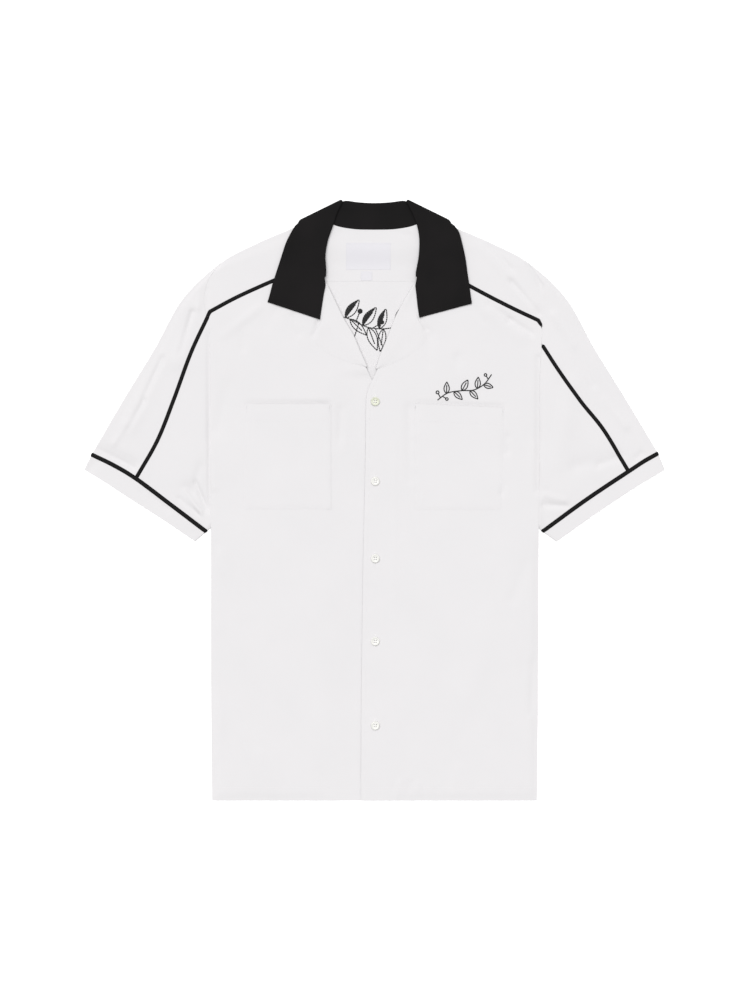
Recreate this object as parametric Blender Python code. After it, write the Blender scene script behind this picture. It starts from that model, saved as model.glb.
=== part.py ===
"""A short-sleeved bowling shirt laid flat on its back, as the pieces that a maker cuts and sews.

+Z is up and +Y runs from the hem to the collar. The origin is under the middle of the shirt, on
the surface it lies on. Right and left are the wearer's, so the left front lies at +X.
Sizes are in millimetres. In the tables, x is measured outwards from the centre line, so that one
row serves either side. A wall of cloth is built from rows of points in the middle of its thickness.
"""

import math
from collections import namedtuple

import bpy
from mathutils import Vector

MM = 0.001
SIDES = {"right": -1, "left": 1}

# Thicknesses, and the gaps at seams
CLOTH = 1.2
COLLAR_CLOTH = 1.4
CUFF_CLOTH = 1.6
LABEL_CLOTH = 1.0
SEAM = 0.4
LAY_GAP = 0.3
LABEL_GAP = 0.5

# Heights of the middle of each layer above the surface
BACK_LEVEL = CLOTH / 2
TUCK_LEVEL = 2.4
FRONT_LEVEL = 3.9
UNDER_LEVEL = 2.1
LAPEL_LEVEL = 5.4
LAPEL_LEG_LEVEL = 2.4

# Body
HEM_Y = -390.5
YOKE_SEAM_Y = 284.5
BACK_HEM_HALF = 211.2
BACK_HALF = 212.6
BACK_TAPER_LENGTH = 130.0
ARMPIT_Y = -28.6
ARMPIT_EASE = (-46.0, -30.0)
EDGE_CURL = 12.0
SIDE_CURL_EASE = (-45.0, -75.0)
HEM_LAP_CLEAR = (24.0, 40.0)
LAP_DIP_START = 34.0
LAP_DIP_WIDTH = 28.0
LAP_TOP_EASE = (170.0, 158.0)

# Corded piping: a low bead that fills its seam
PIPING_CLOTH = 1.6
PIPING_HALF = 2.2
PIPING_LIFT = 0.2
PIPING_RIDGE = 0.3
PIPING_CLEAR = PIPING_HALF + 0.4
CUFF_PIPING_HALF = 2.4
CUFF_PIPING_CLEAR = CUFF_PIPING_HALF + 0.5
CUFF_PIPING_GAP = 0.05

# The neck, where the body lies raised over the collar's hidden fall
NECK_NEAR_RISE = 0.6
NECK_FAR_RISE = 2.0
NECK_RISE_START = 21.0
NECK_RISE_WIDTH = 12.0

# Collar: its fold over the shoulder and the roll between its stand and its fall
COLLAR_MIDDLE = 3.55
FALL_REACH = 2.85
STAND_REACH = 0.95
ROLL_RADIUS = (FALL_REACH - STAND_REACH) / 2
ROLL_REACH = (FALL_REACH + STAND_REACH) / 2
FALL_CORNER_REACH = 6.5

# Buttons and labels
BUTTON_RADIUS = 5.7
BUTTON_THICK = 2.4
BUTTON_X = 1.0
BUTTON_ROWS_Y = (128.0, 24.5, -76.0, -183.5, -293.0)
BUTTON_SIDES = 24
BUTTON_HOLE_RADIUS = 0.8
BUTTON_HOLE_OFFSET = 2.0
BUTTON_HOLE_ANGLE = 41.0
LABEL_SIZE = (58.0, 35.0)
LABEL_CENTRE = (-8.0, 317.0)
TAB_SIZE = (15.0, 12.0)
TAB_CENTRE = (-10.5, 291.5)

Point = namedtuple("Point", "x y")
SleeveRow = namedtuple("SleeveRow", "pipe_x pipe_y mid_x mid_y under_x under_y")
FrontRow = namedtuple("FrontRow", "side_x side_y mid_x mid_y edge_x edge_y")
FacingRow = namedtuple("FacingRow", "edge_x edge_y roll_x roll_y")
CollarRow = namedtuple("CollarRow", "neck_x neck_y roll_x roll_y edge_x edge_y neck_z roll_z edge_z")
Crease = namedtuple("Crease", "start_x start_y end_x end_y width height")
ButtonRing = namedtuple("ButtonRing", "radius z")

# The fold along the shoulder and the top of the sleeve, from the neck to the cuff. The armhole
# seam meets it at row 3.
FOLD_LINE = (
    Point(71.4, 368.6),
    Point(110.0, 352.0),
    Point(156.0, 332.0),
    Point(200.0, 308.0),
    Point(249.0, 261.5),
    Point(285.5, 197.0),
    Point(325.7, 131.3),
    Point(367.5, 60.0),
)
ARMHOLE_ROW = 3

# Piping over the shoulder, from the armhole to the neck, and the turn at its outer end
SHOULDER_PIPING = {
    "right": (
        Point(214.4, 243.6),
        Point(181.5, 260.6),
        Point(148.5, 275.9),
        Point(115.5, 290.0),
        Point(83.0, 303.5),
    ),
    "left": (
        Point(214.0, 234.3),
        Point(182.0, 249.8),
        Point(149.0, 266.8),
        Point(116.0, 284.5),
        Point(83.0, 302.0),
    ),
}
PIPING_TURN = {"right": Point(216.3, 239.5), "left": Point(217.0, 226.0)}
FRONT_TOP_START = 0.1

# The armhole seam on the upper side, from its lower end to the fold, for the yoke and the sleeve
YOKE_ARMHOLE = {
    "right": (Point(218.2, 244.8), Point(220.9, 257), Point(220.1, 272), Point(213, 291), Point(199.6, 308)),
    "left": (Point(218.6, 237), Point(220.8, 252), Point(220.6, 269), Point(213, 291), Point(199.6, 308)),
}
SLEEVE_ARMHOLE = {
    "right": (Point(219.4, 241), Point(221.7, 257), Point(220.9, 272), Point(214, 291), Point(200.4, 308)),
    "left": (
        Point(221.4, 202),
        Point(221.2, 226),
        Point(221.6, 252),
        Point(221.4, 269),
        Point(213.8, 291),
        Point(200.4, 308),
    ),
}
BACK_ARMHOLE_TOP = 213.2
BACK_ARMHOLE_FOOT = 201.4

# The sleeve from the armhole to the cuff: its piping, the middle of its front panel and its underarm
SLEEVE = {
    "right": (
        SleeveRow(216.7, 238.6, 202.5, 104.0, 202.5, -28.6),
        SleeveRow(239.5, 191.0, 220.5, 65.0, 206.5, -31.2),
        SleeveRow(261.0, 130.0, 235.0, 39.0, 210.5, -34.0),
        SleeveRow(283.0, 77.0, 249.0, 15.6, 214.5, -37.5),
        SleeveRow(309.0, 29.3, 264.6, -8.5, 218.9, -41.2),
    ),
    "left": (
        SleeveRow(219.0, 200.0, 203.5, 91.0, 203.5, -28.6),
        SleeveRow(239.8, 167.7, 221.7, 58.5, 207.3, -31.2),
        SleeveRow(268.4, 127.4, 236.0, 36.4, 211.2, -34.0),
        SleeveRow(298.4, 89.7, 251.6, 16.0, 215.2, -37.5),
        SleeveRow(329.0, 38.5, 273.5, 1.6, 219.3, -41.6),
    ),
}
SLEEVE_LOFT = (3.9, 4.6, 4.8, 4.5, 4.0)
SLEEVE_FOLD_LOFT = (3.9, 4.1, 4.1, 3.9, 3.7)
UNDERARM_LOFT = (2.4, 2.4, 2.4, 2.5, 2.6)
TUCK_END_X = 214.5
TUCK_WIDTH = 14.0

# The cuff from the fold on top to the underarm: its seam and its edge. The sleeve's piping meets it
# at row 2.
CUFF_SEAM = {
    "right": (Point(368, 58.5), Point(338.5, 46), Point(309, 29.3), Point(264.6, -8.5), Point(219, -41)),
    "left": (Point(368.6, 60), Point(350, 51.5), Point(329, 38.5), Point(273.5, 1.6), Point(219, -41.5)),
}
CUFF_EDGE = {
    "right": (Point(377.2, 39.5), Point(350, 23), Point(321, 5), Point(276.5, -23.3), Point(230.5, -53.5)),
    "left": (Point(377.2, 39.5), Point(360, 29.2), Point(340, 17), Point(288, -17.5), Point(237, -54)),
}
CUFF_LOFT = (3.7, 4.0, 4.0, 3.9, 2.8)
CUFF_PIPE_ROW = 2

# The fronts from the hem to the shoulder seam: side, middle and front edge
FRONT = {
    "right": (
        FrontRow(211.2, -390.5, 96.0, -390.5, -20.0, -390.5),
        FrontRow(212.6, -230.0, 96.0, -235.0, -20.0, -240.0),
        FrontRow(212.6, -60.0, 97.0, -66.0, -20.0, -72.0),
        FrontRow(212.6, 60.0, 98.0, 60.0, -19.0, 60.0),
        FrontRow(212.6, 118.0, 100.0, 121.0, -12.0, 116.0),
        FrontRow(212.6, 147.0, 102.0, 152.0, -2.0, 144.0),
        FrontRow(212.6, 173.0, 105.0, 180.0, 11.5, 173.0),
        FrontRow(212.6, 197.0, 112.0, 207.0, 28.0, 206.0),
        FrontRow(212.6, 216.0, 122.0, 231.0, 44.0, 238.0),
        FrontRow(212.0, 229.0, 134.0, 253.0, 60.0, 268.0),
        FrontRow(209.0, 241.3, 148.0, 273.3, 81.8, 301.0),
    ),
    "left": (
        FrontRow(211.2, -390.5, 97.0, -390.5, -17.6, -390.5),
        FrontRow(212.6, -230.0, 98.0, -235.0, -16.8, -240.0),
        FrontRow(213.3, -60.0, 99.0, -66.0, -14.5, -72.0),
        FrontRow(214.0, 60.0, 100.0, 62.0, -11.6, 60.0),
        FrontRow(214.0, 118.0, 102.0, 122.0, -11.0, 121.0),
        FrontRow(214.2, 145.0, 104.0, 150.0, -8.4, 143.0),
        FrontRow(215.0, 170.0, 108.0, 176.0, 3.8, 170.0),
        FrontRow(215.4, 188.0, 114.0, 200.0, 15.0, 200.0),
        FrontRow(216.6, 206.0, 122.0, 224.0, 29.5, 233.5),
        FrontRow(215.6, 219.0, 134.0, 246.0, 48.5, 267.0),
        FrontRow(210.0, 234.0, 148.0, 264.0, 81.8, 299.5),
    ),
}

# The turned-back facings that show as lapels, from the top of the gorge seam to the break
FACING = {
    "right": (
        FacingRow(62.0, 276.5, 59.6, 276.5),
        FacingRow(64.3, 256.5, 50.0, 256.5),
        FacingRow(68.6, 233.4, 38.8, 234.0),
        FacingRow(80.0, 211.0, 27.8, 215.5),
        FacingRow(61.0, 190.5, 18.3, 193.5),
        FacingRow(33.0, 178.5, 12.0, 179.5),
        FacingRow(13.8, 173.2, 9.4, 173.2),
    ),
    "left": (
        FacingRow(50.2, 277.5, 47.8, 277.5),
        FacingRow(52.3, 256.0, 37.0, 256.5),
        FacingRow(56.0, 236.0, 26.4, 236.3),
        FacingRow(68.2, 212.5, 17.6, 213.2),
        FacingRow(50.0, 191.0, 8.6, 191.5),
        FacingRow(24.0, 177.5, 3.8, 178.0),
        FacingRow(6.6, 170.6, 1.5, 170.6),
    ),
}
FACING_LEG = 8.0

# The collar's near side from each leaf's front end to the shoulder. The first rows are sewn to the
# lapel and have no stand, so their neck and roll are the same.
GORGE_ROWS = 4
COLLAR_NEAR = {
    "right": (
        CollarRow(70.7, 234.2, 70.7, 234.2, 139.0, 257.0, 5.6, 5.6, 5.6),
        CollarRow(67.5, 246.3, 67.5, 246.3, 136.0, 267.0, 5.6, 5.6, 5.9),
        CollarRow(63.9, 266.0, 63.9, 266.0, 132.8, 279.5, 5.8, 5.8, 6.2),
        CollarRow(62.6, 279.0, 62.6, 279.0, 130.6, 286.5, 6.1, 6.1, 6.3),
        CollarRow(73.0, 290.0, 62.8, 290.0, 128.5, 293.0, 3.9, 5.35, 6.3),
        CollarRow(80.0, 302.5, 63.6, 304.0, 125.0, 303.5, 3.9, 5.4, 6.3),
        CollarRow(79.8, 317.0, 64.1, 319.4, 121.0, 316.0, 4.1, 5.45, 6.4),
        CollarRow(76.2, 336.0, 60.6, 338.5, 115.2, 333.5, 4.5, 5.45, 6.4),
        CollarRow(73.0, 352.5, 54.5, 356.0, 108.6, 347.0, 4.5, 5.45, 6.4),
        CollarRow(71.0, 361.5, 49.0, 373.0, 103.3, 356.0, 4.5, 5.45, 6.4),
    ),
    "left": (
        CollarRow(58.2, 236.8, 58.2, 236.8, 126.5, 255.1, 5.6, 5.6, 5.6),
        CollarRow(54.3, 251.6, 54.3, 251.6, 124.8, 267.0, 5.6, 5.6, 5.9),
        CollarRow(52.2, 268.0, 52.2, 268.0, 123.5, 277.5, 5.8, 5.8, 6.2),
        CollarRow(52.2, 279.0, 52.2, 279.0, 122.4, 284.5, 6.1, 6.1, 6.3),
        CollarRow(66.0, 288.0, 53.2, 289.9, 121.0, 293.0, 3.9, 5.35, 6.3),
        CollarRow(80.0, 302.5, 55.6, 303.0, 119.6, 304.0, 3.9, 5.4, 6.3),
        CollarRow(79.8, 317.0, 58.0, 317.0, 117.6, 317.0, 4.1, 5.45, 6.4),
        CollarRow(76.2, 336.0, 58.8, 338.0, 113.5, 335.0, 4.5, 5.45, 6.4),
        CollarRow(73.0, 352.5, 56.0, 356.0, 110.0, 347.5, 4.5, 5.45, 6.4),
        CollarRow(71.0, 361.5, 49.5, 373.0, 104.0, 356.2, 4.5, 5.45, 6.4),
    ),
}
COLLAR_FOLD = CollarRow(70.4, 369.6, 43.1, 390.2, 95.2, 364.6, 0, 0, 0)
COLLAR_FAR = (
    CollarRow(61.8, 361.9, 36.0, 388.6, 91.0, 346.0, 0, 0, 0),
    CollarRow(47.0, 355.6, 24.0, 387.0, 64.0, 336.0, 0, 0, 0),
    CollarRow(25.0, 352.0, 12.0, 386.0, 33.0, 332.0, 0, 0, 0),
    CollarRow(0.0, 351.4, 0.0, 385.6, 0.0, 331.0, 0, 0, 0),
)
FULL_REACHES = (FALL_REACH, FALL_REACH, ROLL_REACH, STAND_REACH, STAND_REACH)
FALL_STEPS = 6
ROLL_STEPS = 4
STAND_STEPS = 3
FOLD_STEPS = 4

# The outline of the collar's hidden fall, out to where the shoulder fold clears it
HIDDEN_FALL = (
    Point(0.0, 331.0),
    Point(33.0, 332.0),
    Point(64.0, 336.0),
    Point(92.0, 344.0),
    Point(102.0, 358.0),
    Point(112.0, 374.0),
    Point(400.0, 900.0),
)

# Chest pockets: corners at the top inner, top outer, bottom outer and bottom inner
POCKET = {
    "right": (Point(56.6, 124.8), Point(168.0, 125.0), Point(171.0, -12.0), Point(56.6, -12.0)),
    "left": (Point(51.4, 125.0), Point(168.5, 120.0), Point(164.5, -13.0), Point(52.6, -13.0)),
}

# The largest soft folds on the upper side. Here x runs to the wearer's left, and a negative height
# is a trough.
CREASES = (
    Crease(-241, 250, -256, 180, 12, 1.0),
    Crease(-272, 185, -318, 98, 12, 1.1),
    Crease(-318, 66, -348, 80, 9, -0.7),
    Crease(-242, 14, -220, 0, 8, -0.5),
    Crease(143, 331, 206, 254, 11, 0.9),
    Crease(154, 246, 190, 214, 12, 0.8),
    Crease(258, 150, 236, 50, 14, 0.9),
    Crease(312, 62, 272, 44, 10, -0.6),
)

# Places along each piece's table where its wall has a row of points
SLEEVE_STEPS = 11
YOKE_PLACES = (0, 0.14, 0.27, 0.36, 0.45, 0.56, 0.68, 0.79, 0.89, 1)
NECK_PLACES = (60.5, 47.0, 31.0, 15.0, 0.0)
FRONT_ROWS = (0, 0.025, 0.05, 0.08, 0.5, 1, 1.5, 1.93, 2.1, 3, 3.6, 4, 4.5, 5)
FRONT_ROWS += (5.5, 6, 6.5, 7, 7.5, 8, 8.5, 9, 9.5, 10)
FRONT_COLUMNS = (0, 0.018, 0.036, 0.055, 0.14, 0.24, 0.35, 0.46, 0.57, 0.67, 0.72, 0.76, 0.8, 0.84, 0.92, 1)
BACK_ROWS = (HEM_Y, -300, -210, -120, -60, -44, -36, -27, 40, 110, 180, 240, YOKE_SEAM_Y - SEAM / 2)
BACK_COLUMNS = (-1, -0.5, 0, 0.5, 1)
YOKE_BACK_STEPS = 8
YOKE_FRONT_STEPS = 7
SLEEVE_TOP_STEPS = 7
SLEEVE_UNDER_STEPS = 8
CUFF_STEPS = 10
LAPEL_STEPS = 5
PIPING_STEPS = 14
LABEL_STEPS = 6
TANGENT_STEP = 0.02

# How fast a seam's curve fades along a piece, as the power of the share of its length
YOKE_ARMHOLE_FADE = 4
YOKE_FOOT_TURN = 0.1
SLEEVE_ARMHOLE_FADE = 3
SLEEVE_FOOT_FADE = 6
SLEEVE_CUFF_FADE = 3
SLEEVE_SEAM_FADE = 1.5
UNDERARM_EASE = (0.375, 1.0)
FALL_EASE = (1 / 3, 1.0)


def clamp(value):
    return max(0.0, min(1.0, value))


def smooth(value):
    """Eases from 0 to 1."""
    value = clamp(value)
    return value * value * (3 - 2 * value)


def eased(value, ends):
    """Eases from 0 to 1 as the value goes from one end to the other."""
    start, end = ends
    return smooth((value - start) / (end - start))


def lerp(start, end, share):
    return start + (end - start) * share


def steps(count):
    """count + 1 shares from 0 to 1."""
    return [i / count for i in range(count + 1)]


def curve(rows, place):
    """A smooth curve through the rows of a table, read at a place counted in rows."""
    last = len(rows) - 1
    place = max(0.0, min(float(last), place))
    first = min(int(place), last - 1)
    t = place - first
    start, end = rows[first], rows[first + 1]
    before = rows[first - 1] if first else [2 * b - c for b, c in zip(start, end)]
    after = rows[first + 2] if first + 2 <= last else [2 * c - b for b, c in zip(start, end)]
    values = [
        0.5 * (2 * b + (c - a) * t + (2 * a - 5 * b + 4 * c - d) * t**2 + (3 * b - a - 3 * c + d) * t**3)
        for a, b, c, d in zip(before, start, end, after)
    ]
    return type(start)(*values)


def flat(point):
    return Vector((point.x, point.y))


def curve_point(rows, place):
    return flat(curve(rows, place))


def height(levels, place):
    """A level read smoothly between the entries of a short list."""
    place = max(0.0, min(len(levels) - 1.0, place))
    first = min(int(place), len(levels) - 2)
    return lerp(levels[first], levels[first + 1], smooth(place - first))


def tangent(rows, place):
    """The direction of a curve, also at its ends."""
    place = max(TANGENT_STEP, min(len(rows) - 1 - TANGENT_STEP, place))
    return (curve_point(rows, place + TANGENT_STEP) - curve_point(rows, place - TANGENT_STEP)).normalized()


def left_of(direction):
    """The direction turned a quarter turn anticlockwise."""
    return Vector((-direction.y, direction.x))


def piecewise(points, x):
    """The y of a line through points, at x."""
    for start, end in zip(points, points[1:]):
        if x <= end.x:
            return lerp(start.y, end.y, (x - start.x) / (end.x - start.x))
    return points[-1].y


def crease_height(side, x, y):
    """The height that the large soft folds add at a place; x is measured outwards."""
    place = Vector((SIDES[side] * x, y))
    total = 0.0
    for crease in CREASES:
        start = Vector((crease.start_x, crease.start_y))
        line = Vector((crease.end_x, crease.end_y)) - start
        share = clamp((place - start).dot(line) / line.length_squared)
        off = (place - start - line * share).length
        total += crease.height * math.exp(-((off / crease.width) ** 2))
    return total


def neck_rise(x, y):
    """0 to 1: how far the body is raised over the collar's hidden fall."""
    return smooth((y - piecewise(HIDDEN_FALL, abs(x)) + NECK_RISE_START) / NECK_RISE_WIDTH)


def yoke_near_level(side, x, y):
    return FRONT_LEVEL + NECK_NEAR_RISE * neck_rise(x, y) + crease_height(side, x, y)


def yoke_far_level(x, y):
    return BACK_LEVEL + NECK_FAR_RISE * neck_rise(x, y)


def fold_arc(fold, outward, near_z, far_z):
    """Points round a fold from its upper to its lower side, within the fold's outline."""
    reach = (near_z - far_z) / 2
    middle = (near_z + far_z) / 2
    points = []
    for share in steps(FOLD_STEPS):
        angle = math.pi * share
        inset = outward * (reach * (math.sin(angle) - 1))
        points.append(Vector((fold.x + inset.x, fold.y + inset.y, middle + reach * math.cos(angle))))
    return points


def bows(path):
    """How far each point of a path lies off the straight line between its ends."""
    last = len(path) - 1
    return [point - path[0].lerp(path[-1], i / last) for i, point in enumerate(path)]


def wall_data(rows, thickness, ring):
    """Vertices and faces of a wall with rows of points in its middle; a ring joins each row's ends."""
    index = {}
    points = []
    for i, row in enumerate(rows):
        for j, point in enumerate(row):
            index[i, j] = len(points)
            points.append(point)
    quads = []
    for i in range(len(rows) - 1):
        count = min(len(rows[i]), len(rows[i + 1]))
        for j in range(count if ring else count - 1):
            k = (j + 1) % count
            quads.append((index[i, j], index[i, k], index[i + 1, k], index[i + 1, j]))
    normals = [Vector((0, 0, 0)) for _ in points]
    for quad in quads:
        a, b, c, d = (points[i] for i in quad)
        normal = (c - a).cross(d - b)
        for i in quad:
            normals[i] += normal
    total = len(points)
    vertices = [p + n.normalized() * (thickness / 2) for p, n in zip(points, normals)]
    vertices += [p - n.normalized() * (thickness / 2) for p, n in zip(points, normals)]
    faces = list(quads)
    faces += [tuple(i + total for i in reversed(quad)) for quad in quads]
    edges = {(quad[i], quad[(i + 1) % 4]) for quad in quads for i in range(4)}
    for a, b in edges:
        if (b, a) not in edges:
            faces.append((b, a, a + total, b + total))
    return vertices, faces


def volume(vertices, faces):
    total = 0.0
    for face in faces:
        for i in range(1, len(face) - 1):
            total += vertices[face[0]].dot(vertices[face[i]].cross(vertices[face[i + 1]]))
    return total / 6


def add_object(name, vertices, faces, material):
    """An object from vertices in millimetres, with its faces turned outwards."""
    if volume(vertices, faces) < 0:
        faces = [tuple(reversed(face)) for face in faces]
    mesh = bpy.data.meshes.new(name)
    mesh.from_pydata([vertex * MM for vertex in vertices], [], faces)
    mesh.materials.append(material)
    mesh.shade_smooth()
    mesh.set_sharp_from_angle(angle=math.radians(50))
    obj = bpy.data.objects.new(name, mesh)
    bpy.context.scene.collection.objects.link(obj)
    return obj


def add_wall(name, rows, thickness, material, ring=False):
    return add_object(name, *wall_data(rows, thickness, ring), material)


def to_side(side, rows):
    """Rows in outward x, placed on their side of the shirt."""
    sign = SIDES[side]
    return [[Vector((sign * p.x, p.y, p.z)) for p in row] for row in rows]


def material(name, colour, roughness):
    made = bpy.data.materials.new(name)
    made.use_nodes = True
    shader = made.node_tree.nodes["Principled BSDF"]
    shader.inputs["Base Color"].default_value = (*colour, 1)
    shader.inputs["Roughness"].default_value = roughness
    shader.inputs["Metallic"].default_value = 0
    return made


# ------------------------------------------------------------------------------------ body


def back_half_width(y):
    """Half the back panel's width: full below the armpit, then in along the armhole seam."""
    side = lerp(BACK_HEM_HALF, BACK_HALF, smooth((y - HEM_Y) / BACK_TAPER_LENGTH))
    armhole = lerp(BACK_ARMHOLE_FOOT, BACK_ARMHOLE_TOP, clamp((y - ARMPIT_Y) / (YOKE_SEAM_Y - ARMPIT_Y)))
    return lerp(side, armhole, eased(y, ARMPIT_EASE))


def add_back(cloth):
    rows = []
    for y in BACK_ROWS:
        half = back_half_width(y)
        rows.append([Vector((half * share, y, BACK_LEVEL)) for share in BACK_COLUMNS])
    add_wall("back", rows, CLOTH, cloth)


def shoulder_piping(side, place, clear):
    """A point beside the shoulder piping, clear of its centre line towards the neck side."""
    rows = SHOULDER_PIPING[side]
    return curve_point(rows, place) - left_of(tangent(rows, place)) * clear


def yoke_shoulder_row(side, share):
    """From the back seam up to the fold and down to the piping; share runs from neck to armhole."""
    place = ARMHOLE_ROW * share
    fold = curve_point(FOLD_LINE, place)
    if share == 1:
        fold = flat(YOKE_ARMHOLE[side][-1])
    outward = left_of(tangent(FOLD_LINE, place))
    far_foot = Vector((lerp(FOLD_LINE[0].x, BACK_ARMHOLE_TOP, share), YOKE_SEAM_Y + SEAM / 2))
    turn = fold_arc(fold, outward, yoke_near_level(side, *fold), yoke_far_level(*fold))
    inner = flat(turn[0])
    row = []
    for up in steps(YOKE_BACK_STEPS)[:-1]:
        plan = far_foot.lerp(inner, up)
        row.append(Vector((*plan, yoke_far_level(*plan))))
    row += reversed(turn)
    near = steps(YOKE_FRONT_STEPS)
    armhole = [curve_point(YOKE_ARMHOLE[side], 4 * up) for up in near]
    foot = shoulder_piping(side, 4 * (1 - share), PIPING_CLEAR)
    foot = foot.lerp(armhole[0], eased(share, (1 - YOKE_FOOT_TURN, 1)))
    for up, bow in list(zip(near, bows(armhole)))[-2::-1]:
        plan = foot.lerp(inner, up) + bow * share**YOKE_ARMHOLE_FADE
        row.append(Vector((*plan, yoke_near_level(side, *plan))))
    return row


def yoke_neck_row(x):
    """From the back seam up to the neck seam, between the shoulders."""
    neck = [Point(row.neck_x, row.neck_y) for row in reversed(COLLAR_FAR)]
    top = piecewise(neck, abs(x)) - 2 * SEAM
    row = []
    for up in steps(YOKE_BACK_STEPS):
        y = lerp(YOKE_SEAM_Y + SEAM / 2, top, up)
        row.append(Vector((x, y, yoke_far_level(x, y))))
    return row


def add_yoke(cloth):
    right = to_side("right", [yoke_shoulder_row("right", share) for share in reversed(YOKE_PLACES)])
    left = to_side("left", [yoke_shoulder_row("left", share) for share in YOKE_PLACES])
    neck_x = [-x for x in NECK_PLACES] + list(reversed(NECK_PLACES))[1:]
    add_wall("yoke", right + [yoke_neck_row(x) for x in neck_x] + left, CLOTH, cloth)


# ---------------------------------------------------------------------------------- fronts


def front_plan(side, place, share):
    """A point of the front; place counts table rows and share runs from the side to the edge."""
    row = curve(FRONT[side], place)
    across = (Point(row.side_x, row.side_y), Point(row.mid_x, row.mid_y), Point(row.edge_x, row.edge_y))
    return curve_point(across, 2 * share)


def front_point(side, place, share):
    last = len(FRONT[side]) - 1
    plan = front_plan(side, place, share)
    seam = shoulder_piping(side, lerp(FRONT_TOP_START, 4, share), -PIPING_CLEAR)
    plan += (seam - front_plan(side, last, share)) * clamp(place - last + 1) ** 2
    side_x = front_plan(side, place, 0).x
    x, y = plan
    side_curl = (1 - smooth((side_x - x) / EDGE_CURL)) * eased(y, SIDE_CURL_EASE)
    hem_curl = 1 - smooth((y - HEM_Y) / EDGE_CURL)
    lap = 0.0
    if side == "left":
        hem_curl *= eased(x, HEM_LAP_CLEAR)
    else:
        other_edge = front_edge_x("left", y)
        lap = smooth((LAP_DIP_START - other_edge - x) / LAP_DIP_WIDTH) * eased(y, LAP_TOP_EASE)
    drop = (FRONT_LEVEL - UNDER_LEVEL) * max(side_curl, hem_curl, lap)
    return Vector((x, y, FRONT_LEVEL - drop + crease_height(side, x, y) * (1 - max(side_curl, hem_curl))))


def front_edge_x(side, y):
    """Where the front edge lies at a height."""
    edge = [Point(row.edge_y, row.edge_x) for row in FRONT[side]]
    return piecewise(edge, y)


def add_front(side, cloth):
    rows = [[front_point(side, place, share) for share in FRONT_COLUMNS] for place in FRONT_ROWS]
    add_wall(f"front_{side}", to_side(side, rows), CLOTH, cloth)


def add_facing(side, cloth):
    """A lapel: a leg under the front, the fold at the roll, and the part that lies turned back."""
    radius = (LAPEL_LEVEL - LAPEL_LEG_LEVEL) / 2
    rows = []
    for place in steps(2 * (len(FACING[side]) - 1)):
        row = curve(FACING[side], place * (len(FACING[side]) - 1))
        roll = Vector((row.roll_x, row.roll_y))
        edge = Vector((row.edge_x, row.edge_y))
        outward = (edge - roll).normalized()
        points = []
        for share in (1, 0.5):
            plan = roll + outward * (radius + FACING_LEG * share)
            points.append(Vector((*plan, LAPEL_LEG_LEVEL)))
        for share in steps(FOLD_STEPS):
            angle = math.pi * share
            plan = roll + outward * (radius * (1 - math.sin(angle)))
            points.append(Vector((*plan, (LAPEL_LEVEL + LAPEL_LEG_LEVEL) / 2 - radius * math.cos(angle))))
        start = roll + outward * radius
        for share in steps(LAPEL_STEPS)[1:]:
            plan = start.lerp(edge, share)
            points.append(Vector((*plan, LAPEL_LEVEL)))
        rows.append(points)
    add_wall(f"facing_{side}", to_side(side, rows), CLOTH, cloth)


def add_pocket(side, cloth):
    top_in, top_out, low_out, low_in = (flat(corner) for corner in POCKET[side])
    level = FRONT_LEVEL + CLOTH + LAY_GAP
    rows = [[Vector((*corner, level)) for corner in pair] for pair in ((top_in, top_out), (low_in, low_out))]
    add_wall(f"pocket_{side}", to_side(side, rows), CLOTH, cloth)


# --------------------------------------------------------------------------------- sleeves


def cuff_point(side, place, along):
    """A point of the cuff by its place round it, along the sleeve from the cuff seam."""
    seam = curve_point(CUFF_SEAM[side], place)
    edge = curve_point(CUFF_EDGE[side], place)
    return seam + (edge - seam).normalized() * along


def matched(path, share, end, start=None):
    """A plan path read at a share, drawn over to a given end, and start, near each."""
    point = path(share) + (end - path(1)) * share**3
    if start is not None:
        point += (start - path(0)) * (1 - share) ** 3
    return point


def sleeve_points(side, share):
    """The plan of one cross-section: fold, piping, middle of the front panel, underarm, seam behind."""
    rows = SLEEVE[side]

    def fold_path(s):
        return curve_point(FOLD_LINE, ARMHOLE_ROW + 4 * s)

    def table_path(kind):
        def path(s):
            row = curve(rows, 4 * s)
            return Vector((getattr(row, f"{kind}_x"), getattr(row, f"{kind}_y")))

        return path

    def end(place):
        return cuff_point(side, place, -CUFF_PIPING_CLEAR)

    fold = matched(fold_path, share, end(0), flat(SLEEVE_ARMHOLE[side][-1]))
    pipe = matched(table_path("pipe"), share, end(CUFF_PIPE_ROW))
    mid = matched(table_path("mid"), share, end(3))
    under = matched(table_path("under"), share, end(4))
    far_start = Vector((BACK_ARMHOLE_TOP + 2 * SEAM, YOKE_SEAM_Y))
    far_seam = pipe + (far_start - table_path("pipe")(0)) * (1 - share) ** SLEEVE_SEAM_FADE
    return fold, pipe, mid, under, far_seam


def sleeve_frame(side, share):
    """The plan points of a cross-section, with the directions out of its fold and its underarm."""
    here = sleeve_points(side, share)
    before = sleeve_points(side, max(0.0, share - TANGENT_STEP))
    after = sleeve_points(side, min(1.0, share + TANGENT_STEP))
    fold_out = left_of((after[0] - before[0]).normalized())
    under_out = -left_of((after[3] - before[3]).normalized())
    pipe_out = left_of((after[1] - before[1]).normalized())
    return here, fold_out, under_out, pipe_out


def cuff_bows(side, start, end, count):
    return bows([cuff_point(side, lerp(start, end, share), -CUFF_PIPING_CLEAR) for share in steps(count)])


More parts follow.
